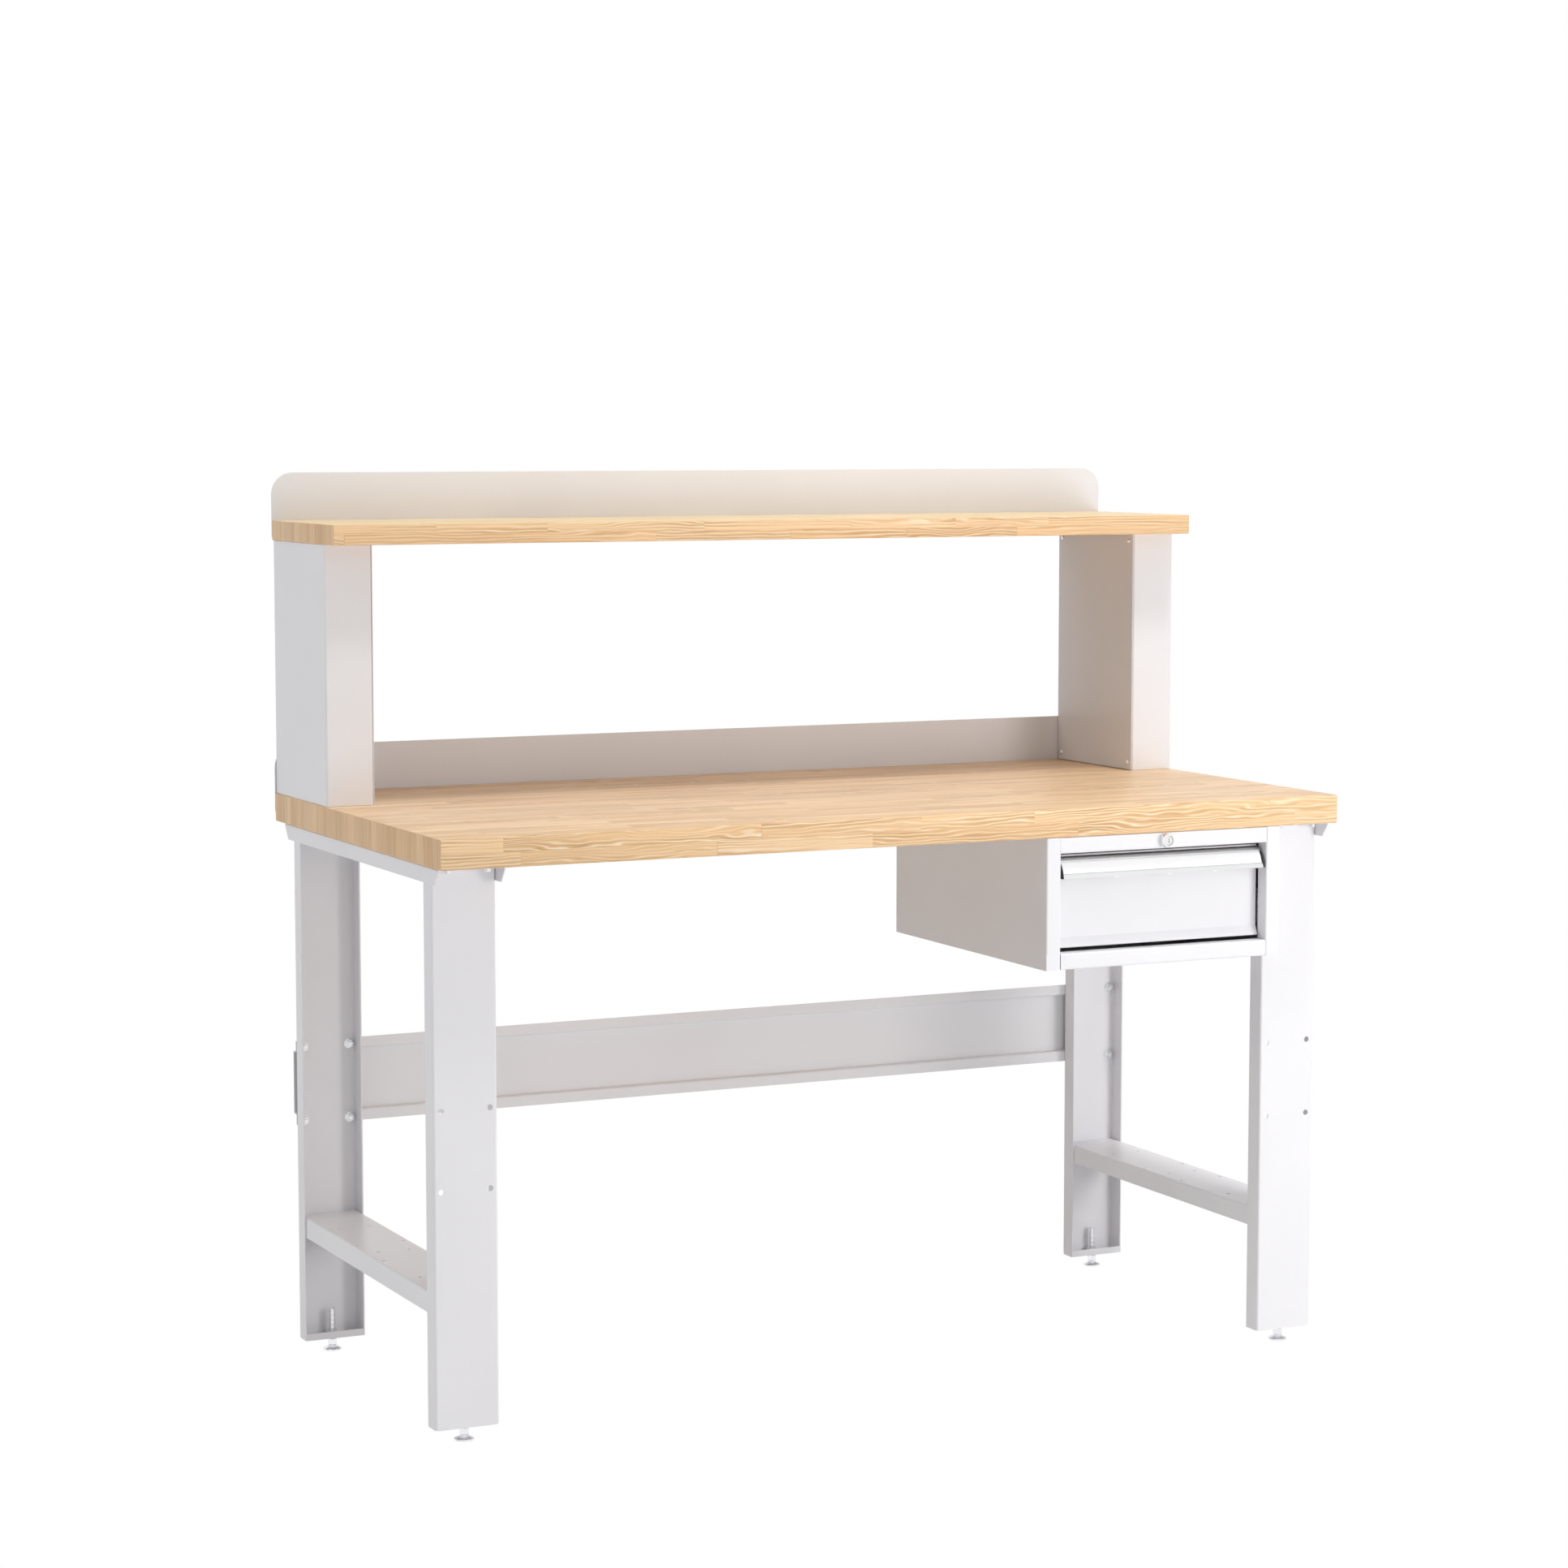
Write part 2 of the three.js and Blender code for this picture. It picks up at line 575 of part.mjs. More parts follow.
// Carriage bolt with its nut: domed head behind the stringer, nut and thread end inside the post.
function makeStringerBolts() {
  const seat = LEG_BACK + GAP + LEG_SHEET + GAP; // behind the stringer's lip
  const nutFace = LEG_BACK - LEG_SHEET - GAP; // inside the post's web
  const tail = nutFace - BOLT_NUT_H - BOLT_TAIL;
  boltPlaces().forEach(({ side, x, z }, index) => {
    const dome = BOLT_DOME.map(([r, h]) => new THREE.Vector2(r * BOLT_HEAD_R, h * BOLT_HEAD_H));
    const head = new THREE.LatheGeometry(dome, ROUND).translate(x, seat, z);
    const shank = bar('y', [x, z], BOLT_R, tail, seat - tail + half(BOLT_HEAD_H), 12);
    const nut = bar('y', [x, z], hexRadius(BOLT_NUT_AF), nutFace - BOLT_NUT_H, BOLT_NUT_H, 6);
    place(`stringer_bolt_${side}_${(index % 4) + 1}`, carve([head, shank, nut]), ZINC);
  });
}

// ---------------------------------------------------------------- levelling feet

function makeFoot(side, end) {
  const x = LEG_X * side.sign;
  const neckTop = POST_BOTTOM - GAP;
  const bore = STUD_R + GAP;
  const profile = [
    [0, 0],
    [PAD_R, 0],
    [PAD_R, PAD_RIM_H],
    [PAD_NECK_R, PAD_CONE_Z],
    [PAD_GROOVE_R, PAD_CONE_Z],
    [PAD_GROOVE_R, PAD_GROOVE_TOP_Z],
    [PAD_NECK_R, PAD_GROOVE_TOP_Z],
    [PAD_NECK_R, neckTop],
    [bore, neckTop],
    [bore, PAD_BORE_Z],
    [0, PAD_BORE_Z],
  ].map(([r, z]) => new THREE.Vector2(r, z));
  const pad = new THREE.LatheGeometry(profile, 24).rotateX(half(Math.PI)).translate(x, end.footY, 0);
  const studZ = PAD_BORE_Z + GAP;
  const stud = bar('z', [x, end.footY], STUD_R, studZ, STUD_TOP_Z - studZ);
  place(`foot_pad_${end.name}_${side.name}`, pad, ZINC);
  place(`foot_stud_${end.name}_${side.name}`, stud, ZINC);
}

// ---------------------------------------------------------------- drawer cabinet

// Wrap-round shell: sides, back and the two front stiles with their returns, in one folded sheet, with
// inward flanges along the top that take the screws into the worktop.
function makeCabinetShell() {
  const y0 = FRONT;
  const y1 = FRONT + CAB_D;
  const z1 = TOP_UNDER - GAP;
  const path = [
    [OPEN_X0, y0 + FRAME_RETURN],
    [OPEN_X0, y0],
    [CAB_X, y0],
    [CAB_X, y1],
    [CAB_RIGHT, y1],
    [CAB_RIGHT, y0],
    [OPEN_X1, y0],
    [OPEN_X1, y0 + FRAME_RETURN],
  ].reverse();
  const wrap = prism(foldedOutline(path, CAB_SHEET, CAB_SHEET), 'z', CAB_BOTTOM, z1 - CAB_BOTTOM);
  const flangeZ = [z1 - CAB_SHEET, z1];
  const flangeY = [y0 + FRAME_RETURN + CAB_FLANGE_BACK, y1 - half(CAB_SHEET)];
  const inner = half(CAB_SHEET);
  const left = block([CAB_X + inner, CAB_X + CAB_FLANGE], flangeY, flangeZ);
  const right = block([CAB_RIGHT - CAB_FLANGE, CAB_RIGHT - inner], flangeY, flangeZ);
  place('cabinet_shell', carve([wrap, left, right]), POWDER_COAT);
}

// Floor pan: the bottom rail of the front frame is its folded front edge.
function makeCabinetFloor() {
  const y0 = FRONT;
  const y1 = FRONT + CAB_D - CAB_SHEET - GAP;
  const rail = [
    [y1, CAB_BOTTOM + FLOOR_LIP],
    [y1, CAB_BOTTOM],
    [y0, CAB_BOTTOM],
    [y0, OPEN_Z0],
    [y0 + FRAME_RETURN, OPEN_Z0],
  ];
  const fold = foldedOutline(rail.reverse(), CAB_SHEET, CAB_SHEET);
  const pan = prism(fold, 'x', OPEN_X0 + GAP, OPEN_X1 - OPEN_X0 - 2 * GAP);
  const sideX = [CAB_X + CAB_SHEET + GAP, CAB_RIGHT - CAB_SHEET - GAP];
  const wingY = [y0 + FRAME_RETURN + FLOOR_PLATE_INSET, y1 - FLOOR_PLATE_INSET];
  const plate = block(sideX, wingY, [CAB_BOTTOM, CAB_BOTTOM + CAB_SHEET]);
  place('cabinet_floor', carve([pan, plate]), POWDER_COAT);
}

// Top rail of the front frame, a folded channel that carries the lock.
function makeLockRail() {
  const z1 = TOP_UNDER - GAP;
  const path = [
    [FRONT + FRAME_RETURN, z1],
    [FRONT, z1],
    [FRONT, OPEN_Z1],
    [FRONT + FRAME_RETURN, OPEN_Z1],
  ].reverse();
  const x0 = OPEN_X0 + GAP;
  const length = OPEN_X1 - OPEN_X0 - 2 * GAP;
  const rail = prism(foldedOutline(path.reverse(), CAB_SHEET, CAB_SHEET), 'x', x0, length);
  const lock = [CAB_MID, LOCK_Z];
  const hole = bar('y', lock, LOCK_BARREL_R + GAP, FRONT - OVERCUT, throughSheet(CAB_SHEET), 24);
  place('cabinet_lock_rail', carve([rail], [hole]), POWDER_COAT);
}

// Channel that carries a slide at the edge of the opening, off the cabinet's side wall.
function makeSlideSpacer(side) {
  const wall = side.sign < 0 ? CAB_X + CAB_SHEET + GAP : CAB_RIGHT - CAB_SHEET - GAP;
  const seat = side.sign < 0 ? OPEN_X0 - CAB_SHEET : OPEN_X1 + CAB_SHEET;
  const low = SLIDE_Z - half(SPACER_H);
  const high = SLIDE_Z + half(SPACER_H);
  const path = [
    [wall, low],
    [seat, low],
    [seat, high],
    [wall, high],
  ];
  const run = side.sign < 0 ? path : path.reverse();
  const y0 = FRONT + FRAME_RETURN + SPACER_FRONT_GAP;
  const channel = prism(foldedOutline(run, CAB_SHEET, CAB_SHEET), 'y', y0, SLIDE_L + SPACER_EXTRA);
  place(`slide_spacer_${side.name}`, channel, ZINC);
}

// Telescopic slide: three nested channels. The outer one stays in the cabinet, the inner one is fixed to
// the tray, and the middle one runs between them.
function makeSlide(side) {
  const outerFace = side.sign < 0 ? OPEN_X0 + GAP : OPEN_X1 - GAP;
  const innerFace = side.sign < 0 ? OPEN_X0 + SLIDE_W : OPEN_X1 - SLIDE_W;
  const inward = -side.sign;
  const channel = (web, direction, height, flange) => {
    const path = [
      [web + direction * flange, SLIDE_Z - half(height)],
      [web, SLIDE_Z - half(height)],
      [web, SLIDE_Z + half(height)],
      [web + direction * flange, SLIDE_Z + half(height)],
    ];
    const run = direction > 0 ? path.reverse() : path;
    return prism(foldedOutline(run, SLIDE_SHEET, SLIDE_BEND_R), 'y', SLIDE_Y0, SLIDE_L);
  };
  const middleWeb = outerFace + inward * (SLIDE_SHEET + SLIDE_PLAY);
  place(`slide_outer_${side.name}`, channel(outerFace, inward, SLIDE_OUTER_H, SLIDE_FLANGE), ZINC);
  const middle = channel(middleWeb, inward, SLIDE_MIDDLE_H, SLIDE_FLANGE - SLIDE_STEP);
  const inner = channel(innerFace, -inward, SLIDE_INNER_H, SLIDE_FLANGE - 2 * SLIDE_STEP);
  place(`slide_middle_${side.name}`, middle, ZINC);
  place(`slide_inner_${side.name}`, inner, ZINC);
}

// ---------------------------------------------------------------- drawer

function makeTray() {
  const x = [TRAY_X0, TRAY_X1];
  const y = [TRAY_Y0, TRAY_Y0 + TRAY_L];
  const z = [TRAY_Z0, TRAY_Z0 + TRAY_WALL_H];
  const t = DRAWER_SHEET;
  const hollow = block([x[0] + t, x[1] - t], [y[0] + t, y[1] - t], [z[0] + t, z[1] + OVERCUT]);
  place('drawer_tray', carve([block(x, y, z)], [hollow]), POWDER_COAT);
}

// Folded drawer front with closed ends, a flared lower edge and a slot in its top for the lock's cam.
function makeDrawerFront() {
  const t = DRAWER_SHEET;
  const rear = FACE_Y + FACE_PAN_D;
  const path = [
    [rear, FACE_Z1],
    [FACE_Y, FACE_Z1],
    [FACE_Y, FACE_Z0 + KICK_H],
    [FACE_Y - KICK_OUT, FACE_Z0],
    [rear, FACE_Z0],
  ];
  const skin = prism(foldedOutline(path, t, t), 'x', FACE_X0, FACE_X1 - FACE_X0);
  const endZ = [FACE_Z0 + half(t), FACE_Z1 - half(t)];
  const endY = [FACE_Y + half(t), rear];
  const leftEnd = block([FACE_X0, FACE_X0 + t], endY, endZ);
  const rightEnd = block([FACE_X1 - t, FACE_X1], endY, endZ);
  const sweep = Math.sqrt(CAM_L ** 2 - (LOCK_Z - FACE_Z1) ** 2) + CAM_SLOT_CLEAR;
  const slotX = [CAB_MID - sweep, CAB_MID + sweep];
  const slotY = [CAM_Y - half(CAM_SLOT_CLEAR), CAM_Y + CAM_T + CAM_SLOT_CLEAR];
  const slot = block(slotX, slotY, [FACE_Z1 - 2 * t, FACE_Z1 + OVERCUT]);
  place('drawer_front', carve([skin, leftEnd, rightEnd], [slot]), POWDER_COAT);
}

// Points of the handle's section, measured forward of the drawer face (first number, towards the user)
// and down from the top of the face (second number).
const HANDLE = {
  backTop: [GAP, 2.3],
  crown: [7.5, 2.4],
  ridge: [14, 6.8],
  ridgeLow: [15.6, 9.6],
  seatTop: [14.7, 10],
  seatLow: [22.9, 28.6],
  lipTop: [24.7, 28.2],
  lipLow: [26.9, 35],
  lipInner: [24.7, 35.4],
  wallLow: [21.1, 29.4],
  wallTop: [12.6, 10.8],
  hoodInner: [GAP + 2, 4.6],
  flangeLow: [GAP + 2, 22],
  flangeBack: [GAP, 22],
  capLow: [16, 35],
  capBack: [GAP, 26],
};
const HANDLE_ARC = { centre: [-9, 38], radius: 36.2 }; // outline of the end caps

const handlePoint = ([out, down]) => [FACE_Y - out, FACE_Z1 - down];

// Hooded pull along the whole drawer, an aluminium extrusion with a seat for the label.
function makeHandle() {
  const h = HANDLE;
  const crown = new THREE.QuadraticBezierCurve(
    new THREE.Vector2(...h.backTop),
    new THREE.Vector2(...h.crown),
    new THREE.Vector2(...h.ridge),
  );
  const top = crown.getPoints(4).map((p) => [p.x, p.y]);
  const rest = [h.ridgeLow, h.seatTop, h.seatLow, h.lipTop, h.lipLow, h.lipInner, h.wallLow, h.wallTop];
  const outline = [...top, ...rest, h.hoodInner, h.flangeLow, h.flangeBack].map(handlePoint);
  const x0 = FACE_X0 + HANDLE_END_GAP;
  place('drawer_handle', prism(outline, 'x', x0, FACE_X1 - HANDLE_END_GAP - x0), ALUMINIUM);
}

// Moulded cap on each end of the handle.
function makeHandleCap(side) {
  const [cx, cz] = HANDLE_ARC.centre;
  const r = HANDLE_ARC.radius;
  const from = Math.acos((GAP - cx) / r);
  const to = Math.asin((cz - HANDLE.lipLow[1]) / r);
  const outline = [];
  for (let step = 0; step <= CAP_STEPS; step += 1) {
    const angle = from + ((to - from) * step) / CAP_STEPS;
    outline.push([cx + r * Math.cos(angle), cz - r * Math.sin(angle)]);
  }
  outline.push(HANDLE.capLow, HANDLE.capBack);
  const gapEnd = side.sign < 0 ? FACE_X0 : FACE_X1;
  const near = gapEnd - side.sign * (HANDLE_END_GAP - GAP);
  const x0 = Math.min(near, near + side.sign * CAP_T);
  place(`handle_cap_${side.name}`, prism(outline.map(handlePoint), 'x', x0, CAP_T), BLACK_PLASTIC);
}

// Card strip held in the seat along the front of the handle.
function makeLabelStrip() {
  const top = new THREE.Vector2(...HANDLE.seatTop);
  const low = new THREE.Vector2(...HANDLE.seatLow);
  const along = low.clone().sub(top).normalize();
  const out = new THREE.Vector2(along.y, -along.x);
  const corner = (start, run, lift) => start.clone().addScaledVector(along, run).addScaledVector(out, lift);
  const outline = [
    corner(top, LABEL_TOP_GAP, GAP),
    corner(top, LABEL_TOP_GAP, GAP + LABEL_T),
    corner(low, -LABEL_LOW_GAP, GAP + LABEL_T),
    corner(low, -LABEL_LOW_GAP, GAP),
  ].map((p) => handlePoint([p.x, p.y]));
  const inset = HANDLE_END_GAP + LABEL_END_GAP;
  const length = FACE_X1 - FACE_X0 - 2 * inset;
  place('label_strip', prism(outline, 'x', FACE_X0 + inset, length), LABEL_CARD);
}

// ---------------------------------------------------------------- lock

// Turns a lathe profile of [radius, depth behind the lock's front] to lie along +Y at the lock.
function lockLathe(profile, segments) {
  const points = profile.map(([r, y]) => new THREE.Vector2(r, y));
  return new THREE.LatheGeometry(points, segments).translate(CAB_MID, LOCK_FRONT, LOCK_Z);
}

function makeLock() {
  const face = LOCK_PROUD - GAP; // back of the bezel, just in front of the rail
  const end = LOCK_PROUD + LOCK_BARREL_L;
  const bore = PLUG_R + PLUG_CLEAR;
  const barrel = [
    [bore, 0],
    [LOCK_BEZEL_R - LOCK_CHAMFER, 0],
    [LOCK_BEZEL_R, LOCK_CHAMFER],
    [LOCK_BEZEL_R, face],
    [LOCK_BARREL_R, face],
    [LOCK_BARREL_R, end],
    [bore, end],
    [bore, 0],
  ];
  place('lock_barrel', lockLathe(barrel, 24), ZINC);

  const camFront = CAM_Y - LOCK_FRONT;
  const plug = [
    [0, PLUG_SET_BACK],
    [PLUG_R - PLUG_SET_BACK, PLUG_SET_BACK],
    [PLUG_R, 2 * PLUG_SET_BACK],
    [PLUG_R, camFront - GAP],
    [PLUG_TAIL_R, camFront - GAP],
    [PLUG_TAIL_R, camFront + CAM_T + PLUG_TAIL_PROUD],
    [0, camFront + CAM_T + PLUG_TAIL_PROUD],
  ];
  const keyway = block(
    [CAB_MID - half(KEYWAY_W), CAB_MID + half(KEYWAY_W)],
    [LOCK_FRONT - OVERCUT, LOCK_FRONT + KEYWAY_D],
    [LOCK_Z - half(KEYWAY_H), LOCK_Z + half(KEYWAY_H)],
  );
  place('lock_plug', carve([lockLathe(plug, 24)], [keyway]), ZINC);

  const shape = new THREE.Shape();
  shape.absarc(0, 0, CAM_R, -half(Math.PI), half(Math.PI), false);
  shape.lineTo(-(CAM_L - CAM_TIP_R), CAM_TIP_R);
  shape.absarc(-(CAM_L - CAM_TIP_R), 0, CAM_TIP_R, half(Math.PI), 1.5 * Math.PI, false);
  const outline = shape.getPoints(6).map((p) => [p.x + CAB_MID, p.y + LOCK_Z]);
  const plate = prism(outline, 'y', CAM_Y, CAM_T);
  const hole = bar('y', [CAB_MID, LOCK_Z], PLUG_TAIL_R + GAP, CAM_Y - OVERCUT, throughSheet(CAM_T), 12);
  place('lock_cam', carve([plate], [hole]), ZINC);
}

// ---------------------------------------------------------------- assembly

makeWorktop();
makeShelf();
SIDES.forEach(makeRiserShell);
SIDES.forEach(makeRiserCover);
makeBackPanel('back_panel_upper', SHELF_TOP - PANEL_SHELF_LAP, SHELF_TOP + PANEL_ABOVE_SHELF);
makeBackPanel('back_panel_lower', TOP_Z - PANEL_LAP, TOP_Z + PANEL_ABOVE_TOP);
SIDES.forEach((side) => {
  ENDS.forEach((end) => {
    makePost(side, end);
    makeFoot(side, end);
  });
});
SIDES.forEach(makeHeadChannel);
SIDES.forEach(makeCrossMember);
makeStringer();
makeStringerBolts();
makeCabinetShell();
makeCabinetFloor();
makeLockRail();
SIDES.forEach(makeSlideSpacer);
SIDES.forEach(makeSlide);
makeTray();
makeDrawerFront();
makeHandle();
SIDES.forEach(makeHandleCap);
makeLabelStrip();
makeLock();

// The origin is on the floor under the middle of the whole outline, lock and back panels included.
bench.position.y = -half(LOCK_FRONT + PANEL_BACK);

const workbench = new THREE.Group();
workbench.add(bench);
export default workbench;
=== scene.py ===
# %% [markdown]
# # A workbench with a drawer, dressed for the camera
#
# The metal frame of the bench comes from its CAD model, one object for each folded part. This lesson
# gives every part its surface, swaps the plain boards for eased ones, and adds the small hardware:
# screws, washers and thread. Each cell says what it makes and why it is made that way.
#
# Metres everywhere. X runs along the bench, Y to the back, Z up, and the floor is at Z = 0.

# %% Load the frame
import math

import bmesh
import bpy
from mathutils import Matrix, Vector


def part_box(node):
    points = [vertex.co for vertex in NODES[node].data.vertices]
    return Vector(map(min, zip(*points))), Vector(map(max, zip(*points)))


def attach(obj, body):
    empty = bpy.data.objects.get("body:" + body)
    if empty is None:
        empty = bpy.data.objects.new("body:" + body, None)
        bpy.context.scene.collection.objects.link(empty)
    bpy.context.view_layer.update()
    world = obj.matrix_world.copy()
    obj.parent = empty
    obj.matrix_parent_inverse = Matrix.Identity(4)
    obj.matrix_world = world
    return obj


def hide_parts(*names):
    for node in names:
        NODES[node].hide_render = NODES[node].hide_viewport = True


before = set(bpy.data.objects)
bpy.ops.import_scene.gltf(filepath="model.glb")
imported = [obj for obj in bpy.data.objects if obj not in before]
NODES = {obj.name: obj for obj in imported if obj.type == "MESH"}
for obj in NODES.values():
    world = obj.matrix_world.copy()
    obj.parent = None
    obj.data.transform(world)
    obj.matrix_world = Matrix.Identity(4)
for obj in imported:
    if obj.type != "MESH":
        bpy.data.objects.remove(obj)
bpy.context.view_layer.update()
MM = 0.001

# %% [markdown]
# ## The camera
#
# A long lens from far back, a little above the worktop and off to the left. Where the camera stands
# fixes how strongly the depth of the bench shrinks, and the lens only sets how much of it is seen.

# %% Camera
LENS = 85.70
SENSOR_WIDTH = 36
NEAREST, FARTHEST = 0.1, 60
CAMERA_AT = (-2.5992, -5.3566, 1.4813)
AZIMUTH, ELEVATION = math.radians(-25.54), math.radians(5.45)

camera = bpy.data.objects.new("camera", bpy.data.cameras.new("camera"))
bpy.context.collection.objects.link(camera)
back = Vector((
    math.sin(AZIMUTH) * math.cos(ELEVATION),
    -math.cos(AZIMUTH) * math.cos(ELEVATION),
    math.sin(ELEVATION),
))
camera.location = CAMERA_AT
camera.rotation_mode = "QUATERNION"
camera.rotation_quaternion = (-back).to_track_quat("-Z", "Y")
camera.data.lens = LENS
camera.data.sensor_width = SENSOR_WIDTH
camera.data.dof.use_dof = False
camera.data.clip_start = NEAREST
camera.data.clip_end = FARTHEST
bpy.context.scene.camera = camera
print("camera", [round(v, 3) for v in camera.location])

# %% [markdown]
# ## Small tools for building node trees
#
# A material is a graph, and a graph is easier to read when each node is one line. `Graph` adds nodes,
# sets their plain values and links what is handed to it, so the cells below read like recipes.


# %% Graph helper
class Graph:
    """One node tree being filled in: every method adds one node and returns its output."""

    def __init__(self, tree):
        self.tree = tree
        self.column = 0

    def add(self, kind, inputs=None, **settings):
        node = self.tree.nodes.new(kind)
        node.location = (self.column * 180, 0)
        self.column += 1
        for name, value in settings.items():
            setattr(node, name, value)
        for name, value in (inputs or {}).items():
            socket = node.inputs[name]
            if isinstance(value, bpy.types.NodeSocket):
                self.tree.links.new(value, socket)
            else:
                socket.default_value = value
        return node

    def math(self, operation, a, b=None, c=None, clamp=False):
        inputs = {0: a}
        if b is not None:
            inputs[1] = b
        if c is not None:
            inputs[2] = c
        return self.add("ShaderNodeMath", inputs, operation=operation, use_clamp=clamp).outputs[0]

    def vector(self, operation, a, b):
        return self.add("ShaderNodeVectorMath", {0: a, 1: b}, operation=operation).outputs[0]

    def xyz(self, x=0.0, y=0.0, z=0.0):
        return self.add("ShaderNodeCombineXYZ", {0: x, 1: y, 2: z}).outputs[0]

    def split(self, vector):
        return self.add("ShaderNodeSeparateXYZ", {0: vector}).outputs

    def noise(self, vector, scale, detail=2.0, roughness=0.5):
        inputs = {"Vector": vector, "Scale": scale, "Detail": detail, "Roughness": roughness}
        return self.add("ShaderNodeTexNoise", inputs).outputs["Fac"]

    def white(self, value, dimensions="1D"):
        key = "W" if dimensions == "1D" else "Vector"
        return self.add("ShaderNodeTexWhiteNoise", {key: value}, noise_dimensions=dimensions).outputs

    def ramp(self, value, low, high, out_low=0.0, out_high=1.0, smooth=False):
        kind = "SMOOTHSTEP" if smooth else "LINEAR"
        inputs = {"Value": value, 1: low, 2: high, 3: out_low, 4: out_high}
        return self.add("ShaderNodeMapRange", inputs, interpolation_type=kind).outputs[0]

    def mix(self, factor, a, b):
        node = self.add("ShaderNodeMix", data_type="RGBA")
        for index, value in ((0, factor), (6, a), (7, b)):
            socket = node.inputs[index]
            if isinstance(value, bpy.types.NodeSocket):
                self.tree.links.new(value, socket)
            elif index:
                socket.default_value = (*value[:3], 1.0)
            else:
                socket.default_value = value
        return node.outputs[2]

    def colours(self, value, stops):
        node = self.add("ShaderNodeValToRGB", {0: value})
        band = node.color_ramp
        while len(band.elements) < len(stops):
            band.elements.new(0.5)
        for element, (place, colour) in zip(band.elements, stops):
            element.position = place
            element.color = (*colour, 1.0)
        return node.outputs[0]

    def bump(self, height, distance, strength):
        inputs = {"Height": height, "Distance": distance, "Strength": strength}
        return self.add("ShaderNodeBump", inputs).outputs[0]


def new_group(name, inputs, outputs):
    """A shader node group with named sockets. Returns the tree, its Graph and its input sockets."""
    tree = bpy.data.node_groups.new(name, "ShaderNodeTree")
    for label, kind, default in inputs:
        socket = tree.interface.new_socket(label, in_out="INPUT", socket_type=kind)
        socket.default_value = default
    for label, kind in outputs:
        tree.interface.new_socket(label, in_out="OUTPUT", socket_type=kind)
    graph = Graph(tree)
    return tree, graph, graph.add("NodeGroupInput").outputs


def finish_group(graph, values):
    graph.add("NodeGroupOutput", values)


def new_material(name):
    """An empty material with its Principled shader in place."""
    material = bpy.data.materials.new(name)
    material.use_nodes = True
    shader = material.node_tree.nodes["Principled BSDF"]
    return material, Graph(material.node_tree), shader


def feed(graph, shader, **values):
    """Links or sets shader inputs; underscores in the names stand for spaces."""
    for name, value in values.items():
        socket = shader.inputs[name.replace("_", " ")]
        if isinstance(value, bpy.types.NodeSocket):
            graph.tree.links.new(value, socket)
        elif socket.type == "RGBA":
            socket.default_value = (*value, 1.0)
        else:
            socket.default_value = value


FLOAT, COLOR, VECTOR = "NodeSocketFloat", "NodeSocketColor", "NodeSocketVector"

# %% [markdown]
# ## Powder coat
#
# Powder coat melts into a skin with a faint ripple, "orange peel", a few millimetres across. Under a
# soft light the ripple is what tells it from plastic. The colour is nearly even; a very weak cloudiness
# and a duller look in the fine pits keep it from reading as a flat fill. The same group serves every
# painted part, and only the tint and the sheen differ.

# %% Powder coat group
tree, g, given = new_group(
    "powder_coat",
    [("Colour", COLOR, (0.8, 0.8, 0.8, 1)), ("Sheen", FLOAT, 0.36)],
    [("Colour", COLOR), ("Roughness", FLOAT), ("Normal", VECTOR)],
)
place = g.add("ShaderNodeTexCoord").outputs["Object"]
cloud = g.noise(place, 5.0, 3.0, 0.55)
speck = g.noise(place, 900.0, 1.0)
peel = g.noise(place, 330.0, 2.0, 0.45)
grit = g.noise(place, 1500.0, 1.0)
shade = g.ramp(cloud, 0.3, 0.7, 0.975, 1.0)
shade = g.math("MULTIPLY", shade, g.ramp(speck, 0.3, 0.7, 0.985, 1.0))
tone = g.vector("MULTIPLY", given["Colour"], g.xyz(shade, shade, shade))
rough = g.math("ADD", given["Sheen"], g.ramp(peel, 0.35, 0.65, 0.05, -0.05))
rough = g.math("ADD", rough, g.ramp(cloud, 0.3, 0.7, 0.03, -0.02))
height = g.math("ADD", peel, g.math("MULTIPLY", grit, 0.25))
normal = g.bump(height, 0.00012, 0.35)
finish_group(g, {"Colour": tone, "Roughness": rough, "Normal": normal})
POWDER_GROUP = tree


def powder_coat(name, colour, sheen=0.36):
    """A paint material: the group with its own tint and sheen."""
    material, graph, shader = new_material(name)
    node = graph.add("ShaderNodeGroup", node_tree=POWDER_GROUP)
    node.inputs["Colour"].default_value = (*colour, 1.0)
    node.inputs["Sheen"].default_value = sheen
    feed(graph, shader, Base_Color=node.outputs["Colour"], Roughness=node.outputs["Roughness"],
         Normal=node.outputs["Normal"], Metallic=0.0, Coat_Weight=0.15, Coat_Roughness=0.2)
    return material


PAINT = powder_coat("powder_coat_light_grey", (0.855, 0.845, 0.868))
# A darker, cooler copy of the light grey paint: it paints the shade that falls on the lower back strip and
# the riser liners under the shelf.
PAINT_SHADED = powder_coat("powder_coat_grey_painted_shade", (0.775, 0.775, 0.80), 0.42)
print("materials", PAINT.name, PAINT_SHADED.name)

# %% [markdown]
# ## Laminated hardwood: where a point lies
#
# A butcher-block board is glued from staves, each with its own piece of tree in it. A picture could
# hold them, but it would blur close up and stretch on the edges. Arithmetic on the coordinates stays
# sharp and goes round all six faces:
#
# 1. Rows run along the board, and a row's number is floor(across / row width). On the top and the ends
#    the rows are counted across the depth, on the long edges up the thickness.
# 2. Each row is cut into lengths at its own places, so that joints never line up from row to row.
# 3. Row, length and seed together give each stave its dice, which pick its tint and its grain.

